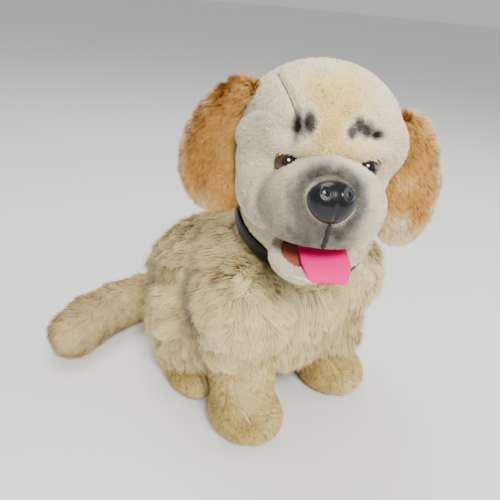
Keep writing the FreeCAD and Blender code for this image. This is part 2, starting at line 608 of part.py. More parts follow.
def head_room(tag):
    """The hollow that the head's works fill."""
    return fuse(
        tag,
        ellipsoid(tag + "_dome", skull_at, *[s + 0.4 for s in shell_sizes], frame=HEAD),
        cylinder(tag + "_plate", 35.6, 9, (0, -4, base_z - 3), frame=WORKS),
        box(tag + "_snout", (-21, -62, 150), (21, -24, 205), WORKS),
    )


def skull_parts(tag):
    """The rounded volumes of the stuffed head without the muzzle: skull and cheeks."""
    parts = [ellipsoid(tag + "_skull", skull_at, *expr3("skull_", "wide", "deep", "tall"), frame=HEAD)]
    for side in (-1, 1):
        parts.append(ellipsoid(f"{tag}_cheek_{side + 1}", (side * 25, -30, 18), 21, 26, 24, frame=HEAD))
    return parts


def skull_solids(tag):
    """The stuffed head's outside without the muzzle."""
    return fuse(tag, *skull_parts(tag))


muzzle_at = (0, D["muzzle_y"], D["muzzle_z"])


def eye_solid(tag, side):
    x, y, z = at = (side * D["eye_x"], D["eye_y"], D["eye_z"])
    front = box(tag + "_half", (x - 9, y - 12, z - 9), (x + 9, y + 1.5, z + 9), HEAD)
    ball = common(tag + "_front", sphere(tag + "_ball", ref("eye_ball"), at, HEAD), front)
    return fuse(tag, ball, cylinder(tag + "_post", 2, 6, at, (0, 1, 0), HEAD))


nose_at = (0, D["nose_y"], D["nose_z"])


def nose_solid(tag):
    dome = common(tag + "_front", ellipsoid(tag + "_dome", nose_at, *expr3("nose_", "wide", "deep", "tall"),
                                            frame=HEAD),
                  box(tag + "_half", (-20, -110, 0), (20, D["nose_y"] + 3, 50), HEAD))
    return fuse(tag, dome, cylinder(tag + "_post", 2.5, 14, nose_at, (0, 1, 0), HEAD))


def washers(tag):
    """The sprung lock washers behind the eyes and the nose."""
    rings = []
    eye_right, eye_left = [(side * D["eye_x"], D["eye_y"], D["eye_z"]) for side in (-1, 1)]
    behind = ((eye_right, 4.4, 2), (eye_left, 4.4, 2), (nose_at, 12, 2.5))
    for k, ((x, y, z), back, bore) in enumerate(behind):
        disc = cylinder(f"{tag}_disc_{k}", 4.2, 1, (x, y + back, z), (0, 1, 0), HEAD)
        hole = cylinder(f"{tag}_bore_{k}", bore, 3, (x, y + back - 1, z), (0, 1, 0), HEAD)
        rings.append(cut(f"{tag}_ring_{k}", disc, hole))
    return fuse(tag, *rings)


node("eye_right", eye_solid("eye_right", -1))
node("eye_left", eye_solid("eye_left", 1))
node("nose", nose_solid("nose"))
node("lock_washers", washers("lock_washers"))
node("head_shell", trimmed("head_shell_cut", shell_outside, [shell_inside, below_frame, face_opening,
                                                             washers("shell_washer_room")]))
features = fuse("face_features", eye_solid("eye_room_right", -1), eye_solid("eye_room_left", 1),
                nose_solid("nose_room"), washers("washer_room"))

mouth_room = box("mouth_room", (-60, -60, -60), (60, 60, 0),
                 HEAD.multiply(FreeCAD.Placement(V(0, -60, -5), FreeCAD.Rotation())))
palate = common("palate", ellipsoid("palate_muzzle", muzzle_at, 27, 27, 25, frame=HEAD),
                box("palate_slab", (-40, -100, -5), (40, -30, -3.8), HEAD))
neck_gap = box("palate_neck", (-60, -62, 100), (60, 60, 200), WORKS)
node("mouth_lining", cut("mouth_lining", palate, neck_gap))
muzzle = ellipsoid("muzzle_outside", muzzle_at, *expr3("muzzle_", "wide", "deep", "tall"), frame=HEAD)
node("muzzle_plush", cut("muzzle_plush", muzzle,
                         fuse("muzzle_tools", skull_solids("muzzle_skull"), socket, mouth_room, features,
                              box("palate_room", (-28, -86, -5.1), (28, -30, -3.8), HEAD),
                              head_room("muzzle_room"))))
node("head_plush", cut("head_plush", skull_solids("head_outside"),
                       fuse("head_tools", socket, head_room("head_hollow"), features,
                            box("mouth_back", (-26, -90, -30), (26, -30, -3.8), HEAD),
                            cylinder("shaft_way", 13, 20, (0, 0, 174), frame=WORKS))))

# ---------------------------------------------------------------- ears
for side, word in ((-1, "right"), (1, "left")):
    drop = D["ear_drop"] if side > 0 else 0
    spread = about((0, 0, 1), side * 40).multiply(about((0, 1, 0), -side * 14))
    ear = ellipsoid(f"ear_flap_{word}", (side * D["ear_x"], -4, D["ear_z"] - drop),
                    *expr3("ear_", "wide", "thick", "tall"), turn=spread, frame=HEAD)
    swing = sphere(f"ear_swing_{word}", D["neck_socket"] + 1.6, (0, 0, D["neck_z"]), WORKS)
    # A flat lower edge: it clears the shoulder, and the free end of each flap is sewn straight.
    lower_edge = box(f"ear_floor_{word}", (-200, -200, 0), (200, 200, 138 if side > 0 else 150), WORKS)
    rooms = [swing, lower_edge]
    node(f"ear_{word}", trimmed(f"ear_cut_{word}", ear, rooms + skull_parts(f"ear_skull_{word}")))

# ---------------------------------------------------------------- jaw
# In the jaw's frame the hinge is the origin and the closed lip line is level.
LIP = -15.5
jaw_at = (0, -14, LIP)
jaw_bowl = ellipsoid("jaw_bowl", jaw_at, *expr3("jaw_", "wide", "deep", "tall"), frame=JAW)
JAW_CLEAR = WORKS.multiply(FreeCAD.Placement(V(0, 0, D["neck_z"]), FreeCAD.Rotation()))


def jaw_back(tag):
    """Everything of the jaw behind this stays clear of the neck as the mouth moves."""
    return fuse(tag, sphere(tag + "_ball", D["neck_socket"] + 3.2, (0, 0, 0), JAW_CLEAR),
                box(tag + "_half", (-60, 0, -60), (60, 80, 60), JAW))


thick = D["tongue_thick"]
tongue_top = LIP + 1.2 + thick
tongue = body("tongue", JAW)
tongue_side = sketch_on(tongue, "YZ", "tongue_side")
tip_y = jaw_at[1] - D["jaw_deep"] - 0.6
outline(tongue_side, [
    (-7, tongue_top - thick), (tip_y, tongue_top - thick), (tip_y - 0.2, LIP - 2),
    (tip_y - thick - 0.2, LIP - 2), (tip_y - thick, tongue_top - 1), (tip_y - thick + 2, tongue_top),
    (-7, tongue_top)])
pad(tongue, tongue_side, ref("tongue_wide"), midplane=True)
tongue.Tip = tongue.Group[-1]
node("tongue", tongue)
lining_slab = box("lining_slab", (-40, -60, LIP), (40, -4, LIP + 1.1), JAW)
lining_bowl = ellipsoid("lining_bowl", jaw_at, D["jaw_wide"] - 2, D["jaw_deep"] - 2, 11, frame=JAW)
lining = common("lining_disc", lining_bowl, lining_slab)
lever = Part.makeBox(24, 27, 2.4, V(-12, -33, LIP - 5))
sector_clock = math.degrees(sector_direction) - (D["head_pitch"] + D["jaw_open"])
sector = gear_shape(D["sector_teeth"], D["gear_thick"], span=42, middle=sector_clock)
sector_cut = Part.makeCylinder(9, 6, V(0, 0, -1))
sector = sector.cut(sector_cut.cut(Part.makeCylinder(4, 6, V(0, 0, -1)))).fuse(
    Part.makeBox(22, 4, D["gear_thick"], V(0, -2, 0)).rotated(V(0, 0, 0), V(0, 0, 1), sector_clock))
# The gear is drawn about +Z and turned so that its axis runs along +X and its angles are read from +Y to +Z.
sector.Placement = FreeCAD.Placement(V(8, 0, 0), FreeCAD.Rotation(V(0, 1, 0), V(0, 0, 1), V(1, 0, 0), "XYZ"))
lever_parts = [sector]
for x in (-17.3, 14.9):
    strut = Part.makeBox(2.4, 5, -LIP + 5, V(x, -8, LIP - 5))
    lever_parts.append(strut)
    lever_parts.append(Part.makeBox(2.4, 8, 6, V(x, -8, -3)))
    lever_parts.append(Part.makeCylinder(4, 2.4, V(x, 0, 0), V(1, 0, 0)))
lever_parts.append(Part.makeBox(34.6, 5, 2.4, V(-17.3, -8, LIP - 5)))
lever_parts.append(Part.makeCylinder(4, 8, V(8, 0, 0), V(1, 0, 0)))
lever = lever.fuse(lever_parts).cut(Part.makeCylinder(1.5 + D["run_gap"], 60, V(-30, 0, 0), V(1, 0, 0)))
lever = lever.removeSplitter()
jaw_frame = node("jaw_frame", solid_feature("jaw_frame", lever, JAW))
node("jaw_lining", trimmed("jaw_lining_cut", lining, [jaw_back("lining_back"),
                                                      copy_of("lining_frame_copy", jaw_frame)]))
node("jaw_plush", cut("jaw_plush", jaw_bowl,
                      fuse("jaw_tools", box("lip_cut", (-60, -60, LIP), (60, 60, 60), JAW),
                           jaw_back("jaw_plush_back"), copy_of("jaw_frame_copy", jaw_frame))))
jaw_roll = 180 + math.degrees(sector_direction) + 180 / D["pinion_teeth"]
TEETH_YZ = FreeCAD.Rotation(V(0, 1, 0), V(0, 0, 1), V(1, 0, 0), "XYZ")
pinion("jaw_pinion", (8, *jaw_pinion_at), jaw_roll, frame=WORKS, turn=TEETH_YZ)

# ---------------------------------------------------------------- recompute, check, write
DOC.recompute()
faults = []
for obj in DOC.Objects:
    if "Invalid" in obj.State or "Error" in obj.State:
        faults.append(f"{obj.Name}: {obj.State}")
for name, obj in NODES.items():
    shape = obj.Shape
    if shape.isNull() or not shape.isValid() or not shape.Solids:
        faults.append(f"{name}: null {shape.isNull()} solids {len(shape.Solids)}")
if faults:
    raise RuntimeError("; ".join(faults))

# The written parts stand with the middle of their footprint at the origin.
points = [p for obj in NODES.values() for p in obj.Shape.tessellate(0.1)[0]]
shift = V(-(min(p.x for p in points) + max(p.x for p in points)) / 2,
          -(min(p.y for p in points) + max(p.y for p in points)) / 2, 0)
os.makedirs("parts", exist_ok=True)
for name, obj in NODES.items():
    shape = obj.Shape.copy()
    shape.translate(shift)
    shape.exportStep(f"parts/{name}.step")
    print(f"{name:20s} solids {len(shape.Solids)} volume {shape.Volume:10.1f}")
jaw_axis = WORKS.Rotation.multVec(V(-1, 0, 0))
for name, place_of, axis in (
        ("neck_turn", V(0, shaft_y, D["chassis_top"]), V(0, 0, 1)),
        ("jaw_close", WORKS.multVec(V(0, hinge_y, hinge_z)), jaw_axis),
        ("tail_wag", V(0, tail_y, D["tail_arm_z"]), V(0, 0, -1)),
        ("neck_pinion_spin", V(0, pinion_y, gear_z), V(0, 0, 1)),
        ("tail_pinion_spin", V(0, tail_pinion_y, tail_gear_z), V(0, 0, -1)),
        ("jaw_pinion_spin", WORKS.multVec(V(10, *jaw_pinion_at)), jaw_axis),
        ("seat", V(35, D["hips_y"], 0), V(0, 0, -1))):
    at = place_of + shift
    numbers = (at.x / 1000, at.y / 1000, at.z / 1000, axis.x, axis.y, axis.z)
    print("POINT", name, " ".join(f"{v:.6f}" for v in numbers))
print(f"SHIFT {shift.x:.3f} {shift.y:.3f}")
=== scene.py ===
"""Looks of the plush puppy: stuffed skins, pile made of real strands, felt mouth, moulded eyes and nose."""

import json
import math
from types import SimpleNamespace

import bpy
import numpy as np
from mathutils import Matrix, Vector
from mathutils.kdtree import KDTree


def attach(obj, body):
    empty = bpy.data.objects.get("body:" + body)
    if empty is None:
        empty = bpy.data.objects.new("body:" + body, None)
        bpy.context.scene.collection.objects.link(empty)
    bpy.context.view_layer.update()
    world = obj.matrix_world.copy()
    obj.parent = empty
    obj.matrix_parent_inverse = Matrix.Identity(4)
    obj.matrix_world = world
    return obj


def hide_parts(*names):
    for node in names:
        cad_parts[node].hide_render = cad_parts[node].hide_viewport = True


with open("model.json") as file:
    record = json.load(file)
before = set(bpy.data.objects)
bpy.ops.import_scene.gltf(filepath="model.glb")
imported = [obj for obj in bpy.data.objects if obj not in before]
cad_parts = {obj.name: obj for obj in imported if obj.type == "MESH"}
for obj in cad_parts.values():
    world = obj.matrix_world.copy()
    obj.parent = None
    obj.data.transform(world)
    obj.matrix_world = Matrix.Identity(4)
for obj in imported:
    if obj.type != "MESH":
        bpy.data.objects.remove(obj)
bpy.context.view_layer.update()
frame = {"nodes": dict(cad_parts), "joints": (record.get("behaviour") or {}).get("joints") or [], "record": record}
rng = np.random.default_rng(20)
SHARE = 1.0

# -------- frames, in millimetres
JOINTS = {j["name"]: j for j in frame["joints"]}


def joint_at(name):
    """Where a joint sits at rest, in millimetres."""
    return np.array(JOINTS[name]["pos_m"]) * 1000


def about_x(angle):
    c, s = math.cos(math.radians(angle)), math.sin(math.radians(angle))
    return np.array([[1, 0, 0], [0, c, -s], [0, s, c]])


def about_y(angle):
    c, s = math.cos(math.radians(angle)), math.sin(math.radians(angle))
    return np.array([[c, 0, s], [0, 1, 0], [-s, 0, c]])


def about_z(angle):
    c, s = math.cos(math.radians(angle)), math.sin(math.radians(angle))
    return np.array([[c, -s, 0], [s, c, 0], [0, 0, 1]])


class Place:
    """A local frame: an origin and three axes as columns, in the shared frame."""

    def __init__(self, origin, axes):
        self.origin = np.array(origin, float)
        self.axes = np.array(axes, float)

    def out(self, points):
        return self.origin + np.asarray(points) @ self.axes.T

    def turn_out(self, vectors):
        return np.asarray(vectors) @ self.axes.T

    def into(self, points):
        return (np.asarray(points) - self.origin) @ self.axes


NECK = joint_at("neck_turn")
FOOT = np.array([NECK[0], NECK[1], 0.0])
across = -np.array(JOINTS["jaw_close"]["axis"], float)
WORKS_AXES = np.stack([across, np.cross((0, 0, 1), across), (0, 0, 1)], axis=1)
PITCH = -8
BODY = Place(FOOT, np.eye(3))
HEAD = Place(FOOT + (0, 0, 156), WORKS_AXES @ about_x(PITCH))
JAW = Place(joint_at("jaw_close"), WORKS_AXES @ about_x(PITCH + 14))
NECK_CENTRE = np.array([0.0, 0.0, 146.0])
NECK_IN_HEAD = HEAD.into(BODY.out(NECK_CENTRE))
# The neck ends in a ball, and the head's socket turns round it with a gap.
NECK_BALL = 41.4
SOCKET = 46.8


# -------- rounded volumes
def unit(v):
    return v / np.maximum(np.linalg.norm(v, axis=-1, keepdims=True), 1e-9)


def far_from(p, centre):
    """Distance of each point from a centre."""
    return np.linalg.norm(p - centre, axis=1)


def oval(p, centre, radii, turn=None):
    """Distance, nearly, to an ellipsoid."""
    q = p - np.array(centre, float)
    if turn is not None:
        q = q @ turn
    r = np.array(radii, float)
    near = np.linalg.norm(q / r, axis=-1)
    slope = np.linalg.norm(q / r**2, axis=-1)
    return near * (near - 1) / np.maximum(slope, 1e-6)


def limb(p, start, end, r_start, r_end):
    """Distance, nearly, to a limb that tapers from one round end to the other."""
    a = np.array(start, float)
    line = np.array(end, float) - a
    t = np.clip((p - a) @ line / (line @ line), 0, 1)
    return np.linalg.norm(p - a - t[:, None] * line, axis=-1) - (r_start + (r_end - r_start) * t)


def slab(p, low, high):
    """Distance, nearly, to a box."""
    middle = (np.array(low, float) + np.array(high, float)) / 2
    half = (np.array(high, float) - np.array(low, float)) / 2
    q = np.abs(p - middle) - half
    return np.linalg.norm(np.maximum(q, 0), axis=-1) + np.minimum(q.max(axis=-1), 0)


def join(a, b, soft):
    """Two volumes as one, with a fillet."""
    h = np.clip(0.5 + 0.5 * (b - a) / soft, 0, 1)
    return b * (1 - h) + a * h - soft * h * (1 - h)


def carve(a, tool, soft):
    """A volume less another, with a rounded edge."""
    return -join(-a, tool, soft)


def bump(p, centre, radii):
    """1 at a point, falling away smoothly over the radii."""
    q = (p - np.array(centre, float)) / np.array(radii, float)
    return np.exp(-np.sum(q * q, axis=-1))


def line_gap(p, line):
    """Distance to a line of several runs."""
    return np.min([limb(p, a, b, 0, 0) for a, b in zip(line, line[1:])], axis=0)


def above_floor(volume, p, gap):
    """A volume cut flat a little above the floor."""
    return np.maximum(volume, gap - p[:, 2])


def slope_of(field, p, e=0.3):
    """The gradient of a field at each point, from differences over e to both sides."""
    out = np.empty_like(p)
    for k in range(3):
        step = np.zeros(3)
        step[k] = e
        out[:, k] = field(p + step) - field(p - step)
    return out / (2 * e)


def excess(field, p, rise=0.0):
    """How far each point has to come back to where a field equals rise, as a vector."""
    slope = slope_of(field, p)
    steepness = np.maximum(np.sum(slope * slope, axis=1, keepdims=True), 0.05)
    return (field(p) - rise)[:, None] * slope / steepness


def onto(field, p, rise):
    """Points moved to where a field equals rise."""
    for _ in range(4):
        p = p - excess(field, p, rise)
    return p


def surface(field, low, high, step):
    """The closed surface where a field is zero: its points and its four-sided faces."""
    low = np.array(low, float)
    lines = [np.arange(a, b + step, step) for a, b in zip(low, high)]
    shape = tuple(len(line) for line in lines)
    grid = np.stack(np.meshgrid(*lines, indexing="ij"), axis=-1).reshape(-1, 3)
    parts = np.array_split(grid, 1 + len(grid) // 300000)
    value = np.concatenate([field(part) for part in parts]).reshape(shape)
    cells = tuple(n - 1 for n in shape)
    count = np.zeros(math.prod(cells))
    total = np.zeros((len(count), 3))
    quads = []
    for axis, u, w in ((0, 1, 2), (1, 2, 0), (2, 0, 1)):
        first = np.take(value, range(shape[axis] - 1), axis)
        second = np.take(value, range(1, shape[axis]), axis)
        start = np.argwhere((first < 0) != (second < 0))
        inner = (start[:, u] > 0) & (start[:, u] < cells[u]) & (start[:, w] > 0) & (start[:, w] < cells[w])
        start = start[inner]
        a, b = first[tuple(start.T)], second[tuple(start.T)]
        point = start.astype(float)
        point[:, axis] += a / (a - b)
        ring = []
        for du, dw in ((-1, -1), (0, -1), (0, 0), (-1, 0)):
            cell = start.copy()
            cell[:, u] += du
            cell[:, w] += dw
            index = np.ravel_multi_index(tuple(cell.T), cells)
            count += np.bincount(index, minlength=len(count))
            for k in range(3):
                total[:, k] += np.bincount(index, point[:, k], minlength=len(count))
            ring.append(index)
        quad = np.stack(ring, axis=1)
        quad[a > 0] = quad[a > 0][:, ::-1]
        quads.append(quad)
    quads = np.concatenate(quads)
    used, faces = np.unique(quads, return_inverse=True)
    faces = faces.reshape(quads.shape)
    points = low + step * total[used] / count[used][:, None]
    for _ in range(3):
        points = points - np.clip(excess(field, points), -0.4 * step, 0.4 * step)
    return points, faces


# -------- materials
def shader(name, colour=(0.5, 0.5, 0.5), rough=0.6, coat=0.0, sheen=0.0, metal=0.0, specular=0.5):
    mat = bpy.data.materials.new(name)
    mat.use_nodes = True
    b = mat.node_tree.nodes["Principled BSDF"]
    settings = {"Base Color": (*colour, 1), "Roughness": rough, "Metallic": metal, "Coat Weight": coat,
                "Coat Roughness": 0.12, "Sheen Weight": sheen, "Sheen Roughness": 0.4,
                "Specular IOR Level": specular}
    for key, value in settings.items():
        b.inputs[key].default_value = value
    return mat


def grain(mat, size, height, spread):
    """Fine moulded or woven grain: a bump, and an uneven roughness."""
    tree = mat.node_tree
    b = tree.nodes["Principled BSDF"]
    place = tree.nodes.new("ShaderNodeTexCoord")
    noise = tree.nodes.new("ShaderNodeTexNoise")
    noise.inputs["Scale"].default_value = 1 / size
    noise.inputs["Detail"].default_value = 4
    tree.links.new(place.outputs["Object"], noise.inputs["Vector"])
    dent = tree.nodes.new("ShaderNodeBump")
    dent.inputs["Strength"].default_value = 1
    dent.inputs["Distance"].default_value = height
    tree.links.new(noise.outputs["Fac"], dent.inputs["Height"])
    tree.links.new(dent.outputs["Normal"], b.inputs["Normal"])
    rough = b.inputs["Roughness"].default_value
    spread_map = tree.nodes.new("ShaderNodeMapRange")
    spread_map.inputs["To Min"].default_value = max(rough - spread, 0.02)
    spread_map.inputs["To Max"].default_value = rough + spread
    tree.links.new(noise.outputs["Fac"], spread_map.inputs["Value"])
    tree.links.new(spread_map.outputs["Result"], b.inputs["Roughness"])
    return mat


def ramp(tree, stops):
    node = tree.nodes.new("ShaderNodeValToRGB")
    marks = node.color_ramp.elements
    while len(marks) < len(stops):
        marks.new(0.5)
    for mark, (at, colour) in zip(marks, stops):
        mark.position = at
        mark.color = (*colour, 1)
    return node


def tone_ramp(tree, stops):
    """A colour ramp along u of the map, and the node that splits the map into u and v."""
    uv = tree.nodes.new("ShaderNodeUVMap")
    uv.uv_map = "OFBake"
    split = tree.nodes.new("ShaderNodeSeparateXYZ")
    tree.links.new(uv.outputs["UV"], split.inputs["Vector"])
    tone = ramp(tree, stops)
    tree.links.new(split.outputs["X"], tone.inputs["Fac"])
    return tone, split


def pile_material(name, stops, root, tip=1.0):
    """Colour of a pile: u of the map picks its tone, and v goes from the root of a strand to its tip. Towards the
    root the colour is darkened: painted shade deep in the pile.
    """
    mat = shader(name, rough=0.85, specular=0.12)
    tree = mat.node_tree
    tone, split = tone_ramp(tree, stops)
    # Painted shade: each strand is darker towards its root, deep in the pile.
    root_shade = ramp(tree, [(0.0, (root,) * 3), (0.35, ((root + tip) * 0.5,) * 3), (0.8, (tip,) * 3)])
    tree.links.new(split.outputs["Y"], root_shade.inputs["Fac"])
    mix = tree.nodes.new("ShaderNodeMix")
    mix.data_type = "RGBA"
    mix.blend_type = "MULTIPLY"
    mix.inputs["Factor"].default_value = 1
    tree.links.new(tone.outputs["Color"], mix.inputs[6])
    tree.links.new(root_shade.outputs["Color"], mix.inputs[7])
    tree.links.new(mix.outputs[2], tree.nodes["Principled BSDF"].inputs["Base Color"])
    return mat


def paint_material(name, stops, **finish):
    """Colour by u of the map alone."""
    mat = shader(name, **finish)
    tree = mat.node_tree
    tone, _ = tone_ramp(tree, stops)
    tree.links.new(tone.outputs["Color"], tree.nodes["Principled BSDF"].inputs["Base Color"])
    return mat


LONG_PILE = pile_material("long_pile", [(0.0, (0.08, 0.075, 0.065)), (0.3, (0.27, 0.24, 0.18)),
                                        (0.5, (0.62, 0.49, 0.25)), (0.68, (0.86, 0.69, 0.34)),
                                        (1.0, (0.98, 0.86, 0.54))], root=0.45)
VELOUR = pile_material("velour", [(0.0, (0.004, 0.004, 0.004)), (0.14, (0.018, 0.017, 0.016)),
                                  (0.36, (0.26, 0.24, 0.20)), (0.5, (0.62, 0.56, 0.40)),
                                  (0.62, (0.92, 0.83, 0.58)), (0.8, (0.94, 0.74, 0.30)),
                                  (1.0, (0.86, 0.56, 0.12))], root=0.6)
TAN_PILE = pile_material("ear_pile", [(0.0, (0.22, 0.085, 0.015)), (0.4, (0.50, 0.225, 0.045)),
                                      (0.7, (0.70, 0.39, 0.11)), (1.0, (0.88, 0.70, 0.44))],
                         root=0.5, tip=1.1)
PAW_PILE = pile_material("paw_pile", [(0.0, (0.40, 0.25, 0.08)), (0.4, (0.68, 0.48, 0.15)),
                                      (0.7, (0.89, 0.69, 0.29)), (1.0, (0.96, 0.82, 0.46))], root=0.5)
TONGUE = grain(shader("tongue_felt", (0.95, 0.008, 0.24), rough=0.95, specular=0.03), 0.0008, 0.0003, 0.05)
FELT = grain(shader("mouth_felt", (0.36, 0.085, 0.04), rough=0.95, sheen=0.1), 0.0008, 0.0005, 0.05)
VINYL = grain(shader("collar_vinyl", (0.006, 0.006, 0.007), rough=0.42, specular=0.2),
              0.0012, 0.00008, 0.08)
BLACK = grain(shader("nose_gloss", (0.004, 0.005, 0.006), rough=0.24, coat=0.12, specular=0.32),
              0.004, 0.00005, 0.04)
THREAD_DARK = grain(shader("dark_thread", (0.015, 0.013, 0.012), rough=0.7), 0.0004, 0.0001, 0.1)
# A dark thread for the temple seam: painted shadow of the seam's gap.
THREAD_SEAM_SHADOW = grain(shader("seam_thread", (0.10, 0.085, 0.065), rough=0.8, specular=0.1),
                    0.0004, 0.0001, 0.1)
THREAD_PALE = grain(shader("pale_thread", (0.86, 0.76, 0.50), rough=0.8, specular=0.2), 0.0004, 0.0001, 0.1)
EYE = paint_material("eye_plastic", [(0.0, (0.004, 0.004, 0.004)), (0.40, (0.005, 0.004, 0.004)),
                                     (0.43, (0.035, 0.010, 0.003)), (0.60, (0.11, 0.030, 0.007)),
                                     (0.74, (0.04, 0.012, 0.004)), (0.80, (0.006, 0.005, 0.005))],
                     rough=0.12, coat=0.3)
PLASTICS = {
    "shell_plastic": grain(shader("shell_plastic", (0.72, 0.69, 0.62), rough=0.45), 0.0009, 0.00005, 0.08),
    "dark_plastic": grain(shader("dark_plastic", (0.03, 0.03, 0.032), rough=0.42), 0.0009, 0.00005, 0.08),
    "gear_plastic": grain(shader("gear_plastic", (0.80, 0.78, 0.72), rough=0.35), 0.002, 0.00003, 0.05),
    "motor_can": grain(shader("motor_can", (0.62, 0.62, 0.63), rough=0.3, metal=1.0), 0.0015, 0.00002, 0.08),
    "steel": grain(shader("steel", (0.60, 0.59, 0.57), rough=0.28, metal=1.0), 0.001, 0.00002, 0.08),
    "cell_wrap": grain(shader("cell_wrap", (0.05, 0.22, 0.10), rough=0.3, coat=0.3), 0.004, 0.00002, 0.05),
    "board": grain(shader("board", (0.02, 0.17, 0.07), rough=0.4), 0.001, 0.00003, 0.08),
    "black_gloss": BLACK,
    "collar_vinyl": VINYL,
}


# -------- meshes
# A pile with more triangles than this is made as several pieces.
FACES_A_PIECE = 190000


def build(name, points, groups, mat, place, body, normals=None, uv=None):
    """A mesh piece from points in a local frame and arrays of faces, riding a body."""
    mesh = bpy.data.meshes.new(name)
    mesh.vertices.add(len(points))
    mesh.vertices.foreach_set("co", (place.out(points) / 1000).astype(np.float32).ravel())
    corners = np.concatenate([g.ravel() for g in groups]).astype(np.int32)
    sizes = np.concatenate([np.full(len(g), g.shape[1]) for g in groups])
    starts = np.concatenate([[0], np.cumsum(sizes)[:-1]]).astype(np.int32)
    mesh.loops.add(len(corners))
    mesh.loops.foreach_set("vertex_index", corners)
    mesh.polygons.add(len(sizes))
    mesh.polygons.foreach_set("loop_start", starts)
    mesh.polygons.foreach_set("use_smooth", np.ones(len(sizes), bool))
    mesh.update(calc_edges=True)
    if uv is not None:
        layer = mesh.uv_layers.new(name="OFBake")
        layer.data.foreach_set("uv", uv[corners].astype(np.float32).ravel())
    if normals is not None:
        mesh.normals_split_custom_set_from_vertices(place.turn_out(normals).astype(np.float32))
    mesh.materials.append(mat)
    obj = bpy.data.objects.new(name, mesh)
    bpy.context.scene.collection.objects.link(obj)
    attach(obj, body)
    return obj


class Skin:
    """A stuffed skin: the surface of a field in a local frame, and places on it to root a pile."""

    def __init__(self, field, low, high, step, place, body):
        self.field, self.place, self.body = field, place, body
        self.points, self.faces = surface(field, low, high, step)
        self.normals = unit(slope_of(field, self.points))

    def show(self, name, mat, tone, root_shade):
        """The skin as a padded piece. tone gives u of its map, and the last argument is the range of v, which
        paints the skin with the pile's painted root shade.
        """
        tones = np.clip(tone(self.points), 0, 1)
        v = rng.uniform(*root_shade, len(self.points))
        obj = build(name, self.points, [self.faces], mat, self.place, self.body,
                    normals=self.normals, uv=np.stack([tones, v], axis=1))
        return obj

    def roots(self, count):
        corner = self.points[self.faces]
        tri = np.concatenate([corner[:, (0, 1, 2)], corner[:, (0, 2, 3)]])
        area = np.linalg.norm(np.cross(tri[:, 1] - tri[:, 0], tri[:, 2] - tri[:, 0]), axis=1)
        count = int(count * SHARE)
        pick = rng.choice(len(tri), count, p=area / area.sum())
        a, b = rng.random((2, count, 1))
        over = a + b > 1
        a, b = np.where(over, 1 - a, a), np.where(over, 1 - b, b)
        chosen = tri[pick]
        root = chosen[:, 0] + a * (chosen[:, 1] - chosen[:, 0]) + b * (chosen[:, 2] - chosen[:, 0])
        return root, unit(slope_of(self.field, root))


def tangent(normals, wish):
    """A wished direction laid along the skin, turned to the rear where the wish points off the skin."""
    spare = np.array([0.0, 1.0, 0.0])
    wish = np.broadcast_to(np.asarray(wish, float), normals.shape)
    flat = wish - normals * np.sum(normals * wish, axis=1, keepdims=True)
    back = spare - normals * (normals @ spare)[:, None]
    weight = np.linalg.norm(flat, axis=1, keepdims=True)
    return unit(flat + back * np.clip(0.35 - weight, 0, 1))


